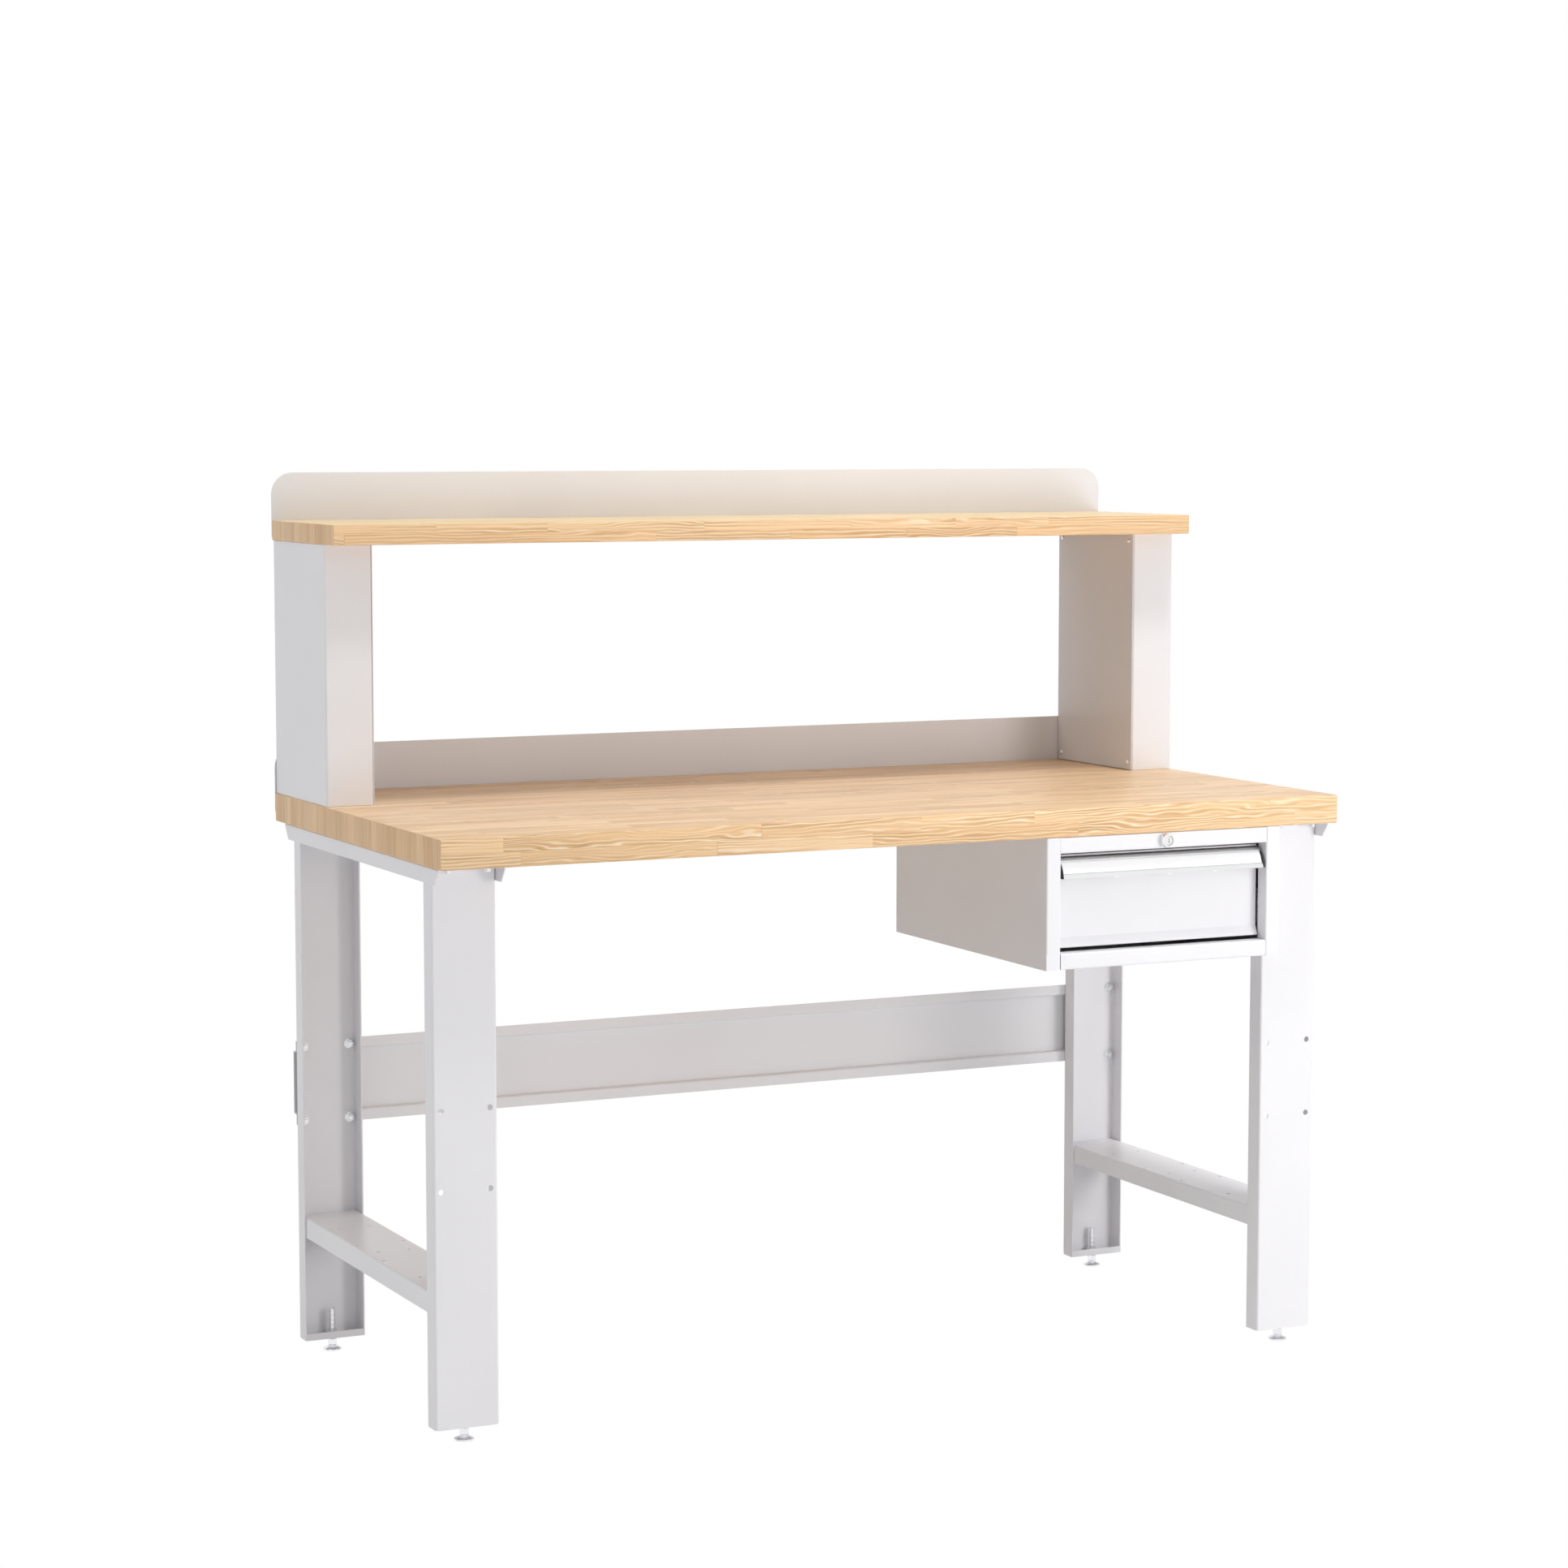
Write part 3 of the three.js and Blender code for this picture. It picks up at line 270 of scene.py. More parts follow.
# %% Stave wood group: rows and staves
WOOD_INPUTS = [
    ("Stave Width", FLOAT, 0.034), ("Stave Length", FLOAT, 0.3), ("Edge Row", FLOAT, 0.0225),
    ("Edge Base", FLOAT, 0.0), ("Seed", FLOAT, 0.0), ("Contrast", FLOAT, 1.0), ("Painted Top Light", FLOAT, 0.0),
]
STAVE_GROUP, g, given = new_group(
    "stave_wood", WOOD_INPUTS, [("Colour", COLOR), ("Roughness", FLOAT), ("Normal", VECTOR)])
place = g.add("ShaderNodeTexCoord").outputs["Object"]
axes = g.split(place)
facing = g.split(g.add("ShaderNodeNewGeometry").outputs["True Normal"])
on_end = g.ramp(g.math("ABSOLUTE", facing[0]), 0.69, 0.72)
on_edge = g.ramp(g.math("ABSOLUTE", facing[1]), 0.69, 0.72)


def choose(factor, plain, other):
    """Picks one of two plain numbers."""
    difference = g.math("SUBTRACT", other, plain)
    return g.math("MULTIPLY_ADD", factor, difference, plain)


rows_deep = g.math("DIVIDE", axes[1], given["Stave Width"])
rows_high = g.math("DIVIDE", g.math("SUBTRACT", axes[2], given["Edge Base"]), given["Edge Row"])
across = choose(on_edge, g.math("ADD", rows_deep, 40.0), rows_high)
row = g.math("FLOOR", across)
row_dice = g.white(g.math("ADD", g.math("MULTIPLY", given["Seed"], 17.3), row))[0]
along = g.math("ADD", g.math("DIVIDE", axes[0], given["Stave Length"]), g.math("MULTIPLY", row_dice, 7.31))
sway = g.math("MULTIPLY", g.noise(g.xyz(along, row, given["Seed"]), 0.9, 0.0), 1.6)
along = choose(on_end, g.math("ADD", along, sway), 0.5)
piece = g.math("FLOOR", along)
dice = g.white(g.xyz(row, piece, given["Seed"]), "3D")
dice_a, dice_rgb = dice[0], g.split(dice[1])
joint_rows = g.ramp(g.math("ABSOLUTE", g.math("SUBTRACT", g.math("FRACT", across), 0.5)), 0.484, 0.5)
joint_ends = g.ramp(g.math("ABSOLUTE", g.math("SUBTRACT", g.math("FRACT", along), 0.5)), 0.4985, 0.5)
joint = g.math("MAXIMUM", joint_rows, joint_ends)

# %% [markdown]
# ## Laminated hardwood: the grain
#
# Growth rings cut along the tree show as long lines, and where the cut just grazes a ring they close
# into tall arches, which joiners call cathedrals. Evenly spaced lines across the stave, pushed about by
# a noise that is stretched along it, give both: gentle noise bends the lines, strong noise closes them
# into arches. Each ring has a pale side and a brown side, so one wave paints two colours. On the sawn
# ends the same staves stand side by side as strips, with straight, weaker lines and a darker tone,
# because end grain drinks the lacquer.

# %% Stave wood group: grain, colour and sheen
RING_PITCH = 185.0
side = choose(on_edge, axes[1], axes[2])
length = choose(on_end, axes[0], g.math("MULTIPLY", axes[2], 0.6))
shift = g.math("MULTIPLY", dice_rgb[0], 31.0)
bend = g.noise(g.xyz(g.math("MULTIPLY", length, 7.0), g.math("MULTIPLY", side, 42.0), shift), 1.0, 2.0, 0.5)
swirl = g.math("ADD", 2.2, g.math("MULTIPLY", dice_rgb[1], 5.0))
phase = g.math("MULTIPLY_ADD", side, RING_PITCH, g.math("MULTIPLY", bend, swirl))
wave = g.math("SINE", g.math("MULTIPLY", g.math("ADD", phase, shift), math.tau))
brown = g.ramp(wave, -0.1, 1.0, 0.0, 1.0, True)
pale = g.ramp(wave, -0.55, -1.0, 0.0, 1.0, True)
hair = g.noise(g.xyz(g.math("MULTIPLY", length, 14.0), g.math("MULTIPLY", side, 620.0), shift), 1.0, 3.0,
               0.65)
soft = g.noise(g.xyz(g.math("MULTIPLY", length, 4.0), g.math("MULTIPLY", side, 70.0), shift), 1.0, 2.0)
band = g.noise(g.xyz(g.math("MULTIPLY", length, 3.0), g.math("MULTIPLY", side, 30.0), shift), 1.0, 1.0)
pores = g.ramp(g.noise(g.xyz(g.math("MULTIPLY", length, 90.0), g.math("MULTIPLY", side, 2400.0), shift),
                       1.0, 1.0), 0.58, 0.72)
fade = g.ramp(soft, 0.36, 0.62, 0.25, 1.0)

tint = g.colours(g.math("FRACT", g.math("MULTIPLY", dice_a, 13.7)), [
    (0.0, (0.95, 0.655, 0.38)), (0.22, (0.91, 0.61, 0.34)), (0.45, (0.97, 0.69, 0.415)),
    (0.70, (0.93, 0.63, 0.355)), (0.88, (0.88, 0.575, 0.31)), (1.0, (0.975, 0.705, 0.435)),
])
dark = g.math("MULTIPLY", g.math("MULTIPLY", brown, fade), 0.5)
dark = g.math("ADD", dark, g.ramp(hair, 0.46, 0.72, 0.0, 0.34))
dark = g.math("ADD", dark, g.ramp(soft, 0.46, 0.72, 0.0, 0.34))
streak = g.math("MULTIPLY", g.ramp(band, 0.38, 0.64, -0.12, 0.42), choose(on_edge, 1.0, 0.5))
dark = g.math("ADD", dark, streak)
stave_shade = g.math("MULTIPLY", g.ramp(dice_rgb[1], 0.0, 1.0, -0.1, 0.16), choose(on_edge, 1.0, 0.3))
dark = g.math("ADD", dark, stave_shade)
dark = g.math("ADD", dark, g.math("MULTIPLY", pores, 0.12))
dark = g.math("MULTIPLY", dark, given["Contrast"], clamp=True)
bright = g.math("MULTIPLY", g.math("MULTIPLY", pale, fade), g.math("MULTIPLY", given["Contrast"], 0.8))
bright = g.math("MULTIPLY", bright, choose(on_end, 1.0, 0.2), clamp=True)
dark = g.math("MULTIPLY", dark, choose(on_end, 1.0, 0.75))
wood = g.mix(dark, tint, (0.62, 0.375, 0.175))
wood = g.mix(bright, wood, (1.0, 0.86, 0.66))
wood = g.mix(g.math("MULTIPLY", on_end, 0.14), wood, (0.45, 0.30, 0.18))
wood = g.mix(g.math("MULTIPLY", joint, g.ramp(dice_rgb[2], 0.0, 1.0, 0.15, 0.5)), wood,
             (0.45, 0.25, 0.11))
# Faces that look up are mixed towards a pale yellow by the Painted Top Light amount: a painted highlight
# standing in for the light falling on the shelf's top.
on_top = g.ramp(facing[2], 0.69, 0.72)
wood = g.mix(g.math("MULTIPLY", given["Painted Top Light"], on_top), wood, (1.0, 0.86, 0.46))

rough = g.math("ADD", 0.40, g.math("MULTIPLY", hair, 0.14))
rough = g.math("ADD", rough, g.math("MULTIPLY", on_end, 0.14))
height = g.math("SUBTRACT", g.math("MULTIPLY", brown, -0.6), g.math("MULTIPLY", pores, 0.8))
height = g.math("SUBTRACT", height, g.math("MULTIPLY", joint, 1.5))
normal = g.bump(height, 0.00015, 0.6)
finish_group(g, {"Colour": wood, "Roughness": rough, "Normal": normal})


def stave_wood(name, values):
    """A wood material, with the group's inputs given by name."""
    material, graph, shader = new_material(name)
    node = graph.add("ShaderNodeGroup", node_tree=STAVE_GROUP)
    for label, value in values.items():
        node.inputs[label].default_value = value
    feed(graph, shader, Base_Color=node.outputs["Colour"], Roughness=node.outputs["Roughness"],
         Normal=node.outputs["Normal"], Coat_Weight=0.2, Coat_Roughness=0.25)
    return material


WOOD = stave_wood("worktop_staves", {"Seed": 3.0, "Edge Base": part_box("worktop")[0].z})
# The shelf gets its own seed and row sizes, and a painted highlight on its top face.
WOOD_SHELF = stave_wood("shelf_staves", {
    "Seed": 11.0, "Edge Base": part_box("riser_shelf")[0].z, "Edge Row": 0.0159, "Stave Length": 0.24,
    "Contrast": 0.95, "Painted Top Light": 0.35})
print("materials", WOOD.name, WOOD_SHELF.name)

# %% [markdown]
# ## Zinc, aluminium, plastic and card
#
# Zinc plate is bright but not a mirror: its reflection breaks up into a fine cloud. The extruded handle
# has die lines along its length, which smear highlights across it. Plastic and card only need their
# own roughness and a trace of texture.


# %% Metal materials
def bare_metal(name, colour, rough, lines=0.0, cloud=0.08):
    """Metal with a cloud in its gloss and, where `lines` is above 0, drawn lines along X."""
    material, graph, shader = new_material(name)
    place = graph.add("ShaderNodeTexCoord").outputs["Object"]
    spots = graph.noise(place, 260.0, 3.0, 0.6)
    grain = graph.noise(graph.vector("MULTIPLY", place, (1.0, 70.0, 70.0)), 45.0, 2.0)
    roughness = graph.math("ADD", graph.ramp(spots, 0.3, 0.7, rough - cloud, rough + cloud),
                           graph.math("MULTIPLY", graph.math("SUBTRACT", grain, 0.5), lines * 0.12))
    tone = graph.mix(graph.ramp(spots, 0.35, 0.7, 0.0, cloud * 3), colour, [v * 0.8 for v in colour])
    tone = graph.mix(graph.ramp(grain, 0.4, 0.7, 0.0, lines * 0.12), tone, [v * 0.7 for v in colour])
    height = graph.math("ADD", graph.math("MULTIPLY", grain, lines),
                        graph.math("MULTIPLY", spots, cloud * 3))
    feed(graph, shader, Base_Color=tone, Roughness=roughness, Metallic=1.0,
         Normal=graph.bump(height, 0.00003, 0.25))
    return material


def moulded(name, colour, rough, scale, gloss=0.0):
    """Plastic or card: an even colour with a fine mottle in tone, gloss and height."""
    material, graph, shader = new_material(name)
    place = graph.add("ShaderNodeTexCoord").outputs["Object"]
    spots = graph.noise(place, scale, 2.0, 0.6)
    tone = graph.mix(graph.ramp(spots, 0.3, 0.7), colour, [v * 0.96 for v in colour])
    feed(graph, shader, Base_Color=tone, Roughness=graph.ramp(spots, 0.3, 0.7, rough, rough + 0.1),
         Normal=graph.bump(spots, 0.00003, 0.2), Coat_Weight=gloss, Coat_Roughness=0.12)
    return material


ZINC = bare_metal("zinc_plate", (0.90, 0.905, 0.92), 0.30)
SLIDE_STEEL = bare_metal("slide_steel", (0.74, 0.75, 0.76), 0.26, 0.4)
ALUMINIUM = bare_metal("handle_aluminium", (0.88, 0.885, 0.89), 0.30, 0.5, 0.01)
LOCK_CHROME = bare_metal("lock_nickel", (0.93, 0.93, 0.935), 0.18, 0.0, 0.02)
BLACK = moulded("black_cap", (0.018, 0.018, 0.019), 0.42, 700.0)
CARD = moulded("label_card", (0.97, 0.97, 0.97), 0.5, 900.0, 0.6)
print("materials", [m.name for m in (ZINC, SLIDE_STEEL, ALUMINIUM, LOCK_CHROME, BLACK, CARD)])

# %% [markdown]
# ## Dressing the folded parts
#
# The folded parts keep their CAD shapes. Each gets its paint and a hair-thin bevel, because no cut
# edge of real sheet is perfectly sharp and the bevel is what catches the light. The facets of a fold
# meet at small angles, so the bevel leaves them alone.

# %% Paint the CAD nodes
EDGE_BREAK = 0.3 * MM
SHARP_ANGLE = math.radians(50)
SAME_POINT = 0.01 * MM


def dress(name, material):
    """Gives a CAD node its material and a small bevel on its sharp edges."""
    node = NODES[name]
    node.data.materials.clear()
    node.data.materials.append(material)
    weld = node.modifiers.new("weld", "WELD")
    weld.merge_threshold = SAME_POINT
    edge = node.modifiers.new("edge", "BEVEL")
    edge.width = EDGE_BREAK
    edge.segments = 2
    edge.limit_method = "ANGLE"
    edge.angle_limit = SHARP_ANGLE
    edge.harden_normals = False


# The lower back strip and the riser liners take the darker copy of the paint, as painted shade for their
# place under the shelf.
LOOKS = {
    "leg_": PAINT, "rear_stringer": PAINT, "back_panel_upper": PAINT, "riser_shell": PAINT,
    "back_panel_lower": PAINT_SHADED, "riser_cover": PAINT_SHADED, "cabinet_": PAINT, "drawer_tray": PAINT,
    "drawer_front": PAINT, "slide_": SLIDE_STEEL, "stringer_bolt": ZINC, "foot_": ZINC,
    "lock_": LOCK_CHROME, "handle_cap": BLACK,
}
for name in NODES:
    for start, material in LOOKS.items():
        if name.startswith(start):
            dress(name, material)
print("dressed", len(NODES), "nodes")

# %% [markdown]
# ## Boards
#
# A glued board leaves the sander with softly eased edges, about a millimetre and a half. The board is
# a box with three bevel steps. `solid_block` and `keep` serve the later pieces too: one adds a box to a
# shape, the other turns a finished shape into a piece of the bench.


# %% Boards
def solid_block(shape, low, high):
    """Adds a closed box between two corners to a bmesh."""
    made = bmesh.ops.create_cube(shape, size=1.0)["verts"]
    size = Vector(high) - Vector(low)
    centre = (Vector(high) + Vector(low)) / 2
    bmesh.ops.transform(shape, matrix=Matrix.Translation(centre) @ Matrix.Diagonal((*size, 1)), verts=made)


def place_piece(piece, body, replaced):
    """Hangs a piece on its body and in place of its CAD nodes."""
    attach(piece, body)
    if replaced:
        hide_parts(*replaced)


def shade_smooth(mesh, angle):
    """Smooth shading, broken where faces meet at more than the angle in degrees."""
    for polygon in mesh.polygons:
        polygon.use_smooth = True
    mesh.set_sharp_from_angle(angle=math.radians(angle))


def keep(name, shape, material, body, replaced=(), smooth=30):
    """Turns a bmesh into a finished piece."""
    bmesh.ops.recalc_face_normals(shape, faces=shape.faces)
    mesh = bpy.data.meshes.new(name)
    shape.to_mesh(mesh)
    shape.free()
    mesh.materials.append(material)
    shade_smooth(mesh, smooth)
    piece = bpy.data.objects.new(name, mesh)
    bpy.context.collection.objects.link(piece)
    place_piece(piece, body, replaced)
    print(name, len(mesh.polygons), "faces")


def board(name, node, material, ease):
    """A board with eased edges in place of a plain one."""
    shape = bmesh.new()
    solid_block(shape, *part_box(node))
    bmesh.ops.bevel(shape, geom=shape.edges[:], offset=ease, segments=3, profile=0.5, affect="EDGES")
    keep(name, shape, material, "body", [node], 31)


board("worktop_board", "worktop", WOOD, 1.6 * MM)
board("shelf_board", "riser_shelf", WOOD_SHELF, 1.4 * MM)

# %% [markdown]
# ## A workshop for small parts
#
# Screws, nuts and feet repeat, so each kind is built once as a Geometry Nodes tree and set down on
# marks. A mark is one vertex that carries the direction its part faces. These helpers do the work:
#
# - `turned` raises a flat disc step by step and scales the top after each step, as a lathe would. With
#   six sides it makes hexagons.
# - `set_down` puts the shape on every mark, turned to face the right way, and makes it real.
# - `run_tree` runs a tree once, gives back the plain mesh and takes the modifier off again, and `cast`
#   makes a piece of what a tree puts on its marks.


# %% Helpers for parts that repeat
def parts_tree(name, sizes):
    """A Geometry Nodes tree with named sizes in metres, a material input and one output."""
    tree = bpy.data.node_groups.new(name, "GeometryNodeTree")
    face = tree.interface
    face.new_socket("Marks", in_out="INPUT", socket_type="NodeSocketGeometry")
    for label in sizes:
        face.new_socket(label, in_out="INPUT", socket_type="NodeSocketFloat")
    face.new_socket("Material", in_out="INPUT", socket_type="NodeSocketMaterial")
    face.new_socket("Parts", in_out="OUTPUT", socket_type="NodeSocketGeometry")
    graph = Graph(tree)
    return tree, graph, graph.add("NodeGroupInput").outputs


def turned(graph, radius, sides, steps):
    """A closed solid of turning: each step is (rise, scale of the new top)."""
    disc = graph.add("GeometryNodeMeshCircle", {"Vertices": sides, "Radius": radius}, fill_type="NGON")
    disc = disc.outputs[0]
    under = graph.add("GeometryNodeFlipFaces", {0: disc}).outputs[0]
    mesh, top = disc, None
    for rise, scale in steps:
        inputs = {"Mesh": mesh, "Offset": graph.xyz(0.0, 0.0, 1.0), "Offset Scale": rise,
                  "Individual": False}
        if top is not None:
            inputs["Selection"] = top
        grown = graph.add("GeometryNodeExtrudeMesh", inputs, mode="FACES").outputs
        mesh, top = grown["Mesh"], grown["Top"]
        if scale != 1.0:
            mesh = graph.add("GeometryNodeScaleElements",
                             {"Geometry": mesh, "Selection": top, "Scale": scale}).outputs[0]
    return stitched(graph, join(graph, mesh, under))


def stitched(graph, shape):
    """Merges the points where a shape's parts meet."""
    return graph.add("GeometryNodeMergeByDistance", {"Geometry": shape, "Distance": 1e-6}).outputs[0]


def join(graph, *shapes):
    """Puts shapes side by side in one geometry."""
    node = graph.add("GeometryNodeJoinGeometry")
    for shape in reversed(shapes):
        graph.tree.links.new(shape, node.inputs[0])
    return node.outputs[0]


def lift(graph, shape, height, turn=0.0):
    """Moves a shape up its own axis and turns it about it."""
    inputs = {"Geometry": shape, "Translation": graph.xyz(0.0, 0.0, height), "Rotation": (0.0, 0.0, turn)}
    return graph.add("GeometryNodeTransform", inputs).outputs[0]


def thread(graph, radius, pitch, height, resolution):
    """One helical ridge: a triangle swept up a spiral with so many points to a turn."""
    turns = graph.math("DIVIDE", height, pitch)
    path = graph.add("GeometryNodeCurveSpiral", {
        "Resolution": resolution, "Rotations": turns, "Start Radius": radius, "End Radius": radius,
        "Height": height}).outputs[0]
    ridge = graph.add("GeometryNodeCurvePrimitiveCircle", {
        "Resolution": 3, "Radius": graph.math("MULTIPLY", pitch, 0.5)}).outputs[0]
    return graph.add("GeometryNodeCurveToMesh", {
        "Curve": path, "Profile Curve": ridge, "Fill Caps": True}).outputs[0]


def set_down(graph, given, shape):
    """Puts the shape on every mark, makes it real and gives it its material."""
    way = graph.add("GeometryNodeInputNamedAttribute", {"Name": "facing"}, data_type="FLOAT_VECTOR")
    turn = graph.add("FunctionNodeAlignRotationToVector", {"Vector": way.outputs[0]}, axis="Z").outputs[0]
    copies = graph.add("GeometryNodeInstanceOnPoints", {
        "Points": given["Marks"], "Instance": shape, "Rotation": turn}).outputs[0]
    real = graph.add("GeometryNodeRealizeInstances", {0: copies}).outputs[0]
    dressed = graph.add("GeometryNodeSetMaterial", {
        "Geometry": real, "Material": given["Material"]}).outputs[0]
    graph.add("NodeGroupOutput", {0: dressed})


def run_tree(piece, tree, values):
    """Runs a tree on a piece, with its inputs given by name, and returns the plain mesh it makes."""
    modifier = piece.modifiers.new("parts", "NODES")
    modifier.node_group = tree
    for item in tree.interface.items_tree:
        if item.in_out == "INPUT" and item.name in values:
            modifier[item.identifier] = values[item.name]
    made = bpy.data.meshes.new_from_object(piece.evaluated_get(bpy.context.evaluated_depsgraph_get()))
    piece.modifiers.remove(modifier)
    return made


def cast(name, tree, marks, sizes, material, body, replaced=()):
    """Runs a tree on marks [(place, facing)], all in metres, and keeps the mesh it makes."""
    mesh = bpy.data.meshes.new(name)
    mesh.from_pydata([place for place, _ in marks], [], [])
    facing = mesh.attributes.new("facing", "FLOAT_VECTOR", "POINT")
    for index, (_, way) in enumerate(marks):
        facing.data[index].vector = way
    piece = bpy.data.objects.new(name, mesh)
    bpy.context.collection.objects.link(piece)
    made = run_tree(piece, tree, {**sizes, "Material": material})
    piece.data = made
    made.name = name
    made.attributes.remove(made.attributes["facing"])
    shade_smooth(made, 28)
    place_piece(piece, body, replaced)
    print(name, len(marks), "marks,", len(made.polygons), "faces")


# %% [markdown]
# ## Pan-head screws
#
# Eight bright screws hold the two liners of the riser legs, five hold each steel back strip and three
# show on each inner wall of the drawer, where the slides are fixed. The head is a low dome from
# `turned`, and a Boolean with two crossed bars cuts the driver recess. Once the head is a mesh, every
# other screw is only a copy, so the recess is cut once per kind and not once per screw.

# %% Pan-head screws
screw_tree, g, given = parts_tree("pan_screw", ["Head Radius", "Head Height"])
rise = given["Head Height"]
DOME = [(0.30, 1.0), (0.30, 0.93), (0.22, 0.84), (0.13, 0.66), (0.05, 0.5)]
head = turned(g, given["Head Radius"], 20, [(g.math("MULTIPLY", rise, part), scale) for part, scale in DOME])
bar_long = g.math("MULTIPLY", given["Head Radius"], 1.05)
bar_wide = g.math("MULTIPLY", given["Head Radius"], 0.26)
bar_deep = g.math("MULTIPLY", rise, 1.2)
bar = g.add("GeometryNodeMeshCube", {"Size": g.xyz(bar_long, bar_wide, bar_deep)}).outputs[0]
cut = g.add("GeometryNodeMeshBoolean", {"Mesh 1": head}, operation="DIFFERENCE", solver="EXACT")
for turn in (math.radians(25), math.radians(115)):
    g.tree.links.new(lift(g, bar, rise, turn), cut.inputs["Mesh 2"])
set_down(g, given, cut.outputs[0])

LINER_INSET = 12 * MM
marks = []
for side, way in (("left", 1), ("right", -1)):
    low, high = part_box("riser_cover_" + side)
    face = high.x if way > 0 else low.x
    marks += [((face, y, z), (way, 0, 0)) for y in (low.y + LINER_INSET, high.y - LINER_INSET)
              for z in (low.z + LINER_INSET, high.z - LINER_INSET)]
PAN = {"Head Radius": 4.2 * MM, "Head Height": 2.3 * MM}
cast("liner_screws", screw_tree, marks, PAN, ZINC, "body")

STRIP_SCREWS = 5
END_INSET = 60 * MM
marks = []
for strip, board_name in (("back_panel_upper", "riser_shelf"), ("back_panel_lower", "worktop")):
    low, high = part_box(strip)
    level = (max(low.z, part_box(board_name)[0].z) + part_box(board_name)[1].z) / 2
    pitch = (high.x - low.x - 2 * END_INSET) / (STRIP_SCREWS - 1)
    marks += [((low.x + END_INSET + pitch * n, high.y, level), (0, 1, 0)) for n in range(STRIP_SCREWS)]
cast("strip_screws", screw_tree, marks, PAN, ZINC, "body")

# %% [markdown]
# ## Lag screws under the top
#
# Four hexagon lag screws with a washer rolled onto the head pull each leg against the wood. Their heads
# hang under the leg's upper channel, and two of them catch the light in front of each front post. The
# shape is a thin round washer with a chamfered hexagon on it.

# %% Lag screws
lag_tree, g, given = parts_tree("lag_screw", ["Flange Radius", "Flange Height", "Hex Radius", "Hex Height"])
flange = turned(g, given["Flange Radius"], 24, [
    (g.math("MULTIPLY", given["Flange Height"], 0.6), 1.0),
    (g.math("MULTIPLY", given["Flange Height"], 0.4), 0.9)])
hexagon = turned(g, given["Hex Radius"], 6, [
    (g.math("MULTIPLY", given["Hex Height"], 0.85), 1.0),
    (g.math("MULTIPLY", given["Hex Height"], 0.15), 0.86)])
set_down(g, given, join(g, flange, lift(g, hexagon, given["Flange Height"])))

LAG_INSET_Y = 17 * MM
LAG_HALF_PITCH = 30.55 * MM
WEB_SHEET = 2 * MM
marks = []
for side in ("left", "right"):
    low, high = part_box("leg_head_channel_" + side)
    middle = (low.x + high.x) / 2
    marks += [((middle + hand * LAG_HALF_PITCH, y, high.z - WEB_SHEET), (0, 0, -1))
              for y in (low.y + LAG_INSET_Y, high.y - LAG_INSET_Y) for hand in (-1, 1)]
LAG = {"Flange Radius": 7.5 * MM, "Flange Height": 1.6 * MM, "Hex Radius": 5.6 * MM, "Hex Height": 4.6 * MM}
cast("lag_screws", lag_tree, marks, LAG, ZINC, "body")

# %% [markdown]
# ## Stringer bolts
#
# Eight round-headed bolts clamp the rear stringer to the back posts. From the front only the nut, its
# washer and the bolt's threaded end show, from the back only the dome. One tree draws all of it along
# the bolt's axis. The mark sits where the washer rests on the post and faces the front, so everything
# behind it is drawn at negative heights.

# %% Stringer bolts
bolt_tree, g, given = parts_tree("stringer_bolt", [
    "Nut Radius", "Nut Height", "Washer Radius", "Washer Height", "Bolt Radius", "Tail", "Grip",
    "Head Radius", "Head Height"])
END_CHAMFER = 0.4 * MM
BOLT_PITCH = 1.25 * MM
washer = turned(g, given["Washer Radius"], 28, [
    (g.math("MULTIPLY", given["Washer Height"], 0.8), 1.0),
    (g.math("MULTIPLY", given["Washer Height"], 0.2), 0.95)])
nut_base = given["Washer Height"]
nut = turned(g, given["Nut Radius"], 6, [
    (g.math("MULTIPLY", given["Nut Height"], 0.86), 1.0),
    (g.math("MULTIPLY", given["Nut Height"], 0.14), 0.87)])
nut_top = g.math("ADD", nut_base, given["Nut Height"])
core = turned(g, g.math("MULTIPLY", given["Bolt Radius"], 0.88), 20, [
    (g.math("ADD", given["Tail"], -END_CHAMFER), 1.0), (END_CHAMFER, 0.85)])
ridge = thread(g, g.math("MULTIPLY", given["Bolt Radius"], 0.86), BOLT_PITCH,
               g.math("ADD", given["Tail"], -2 * END_CHAMFER), 10)
shank = turned(g, g.math("MULTIPLY", given["Bolt Radius"], 0.95), 16, [(given["Grip"], 1.0)])
DOME_HEAD = [(0.30, 0.985), (0.28, 0.90), (0.22, 0.80), (0.13, 0.68), (0.07, 0.45)]
dome = turned(g, given["Head Radius"], 28,
              [(g.math("MULTIPLY", given["Head Height"], part), scale) for part, scale in DOME_HEAD])
flipped = g.add("GeometryNodeTransform", {
    "Geometry": dome, "Rotation": (math.pi, 0.0, 0.0),
    "Translation": g.xyz(0.0, 0.0, g.math("MULTIPLY", given["Grip"], -1.0))}).outputs[0]
whole = join(g, washer, lift(g, nut, nut_base, math.radians(12)), lift(g, core, nut_top),
             lift(g, ridge, nut_top), lift(g, shank, g.math("MULTIPLY", given["Grip"], -1.0)), flipped)
set_down(g, given, whole)

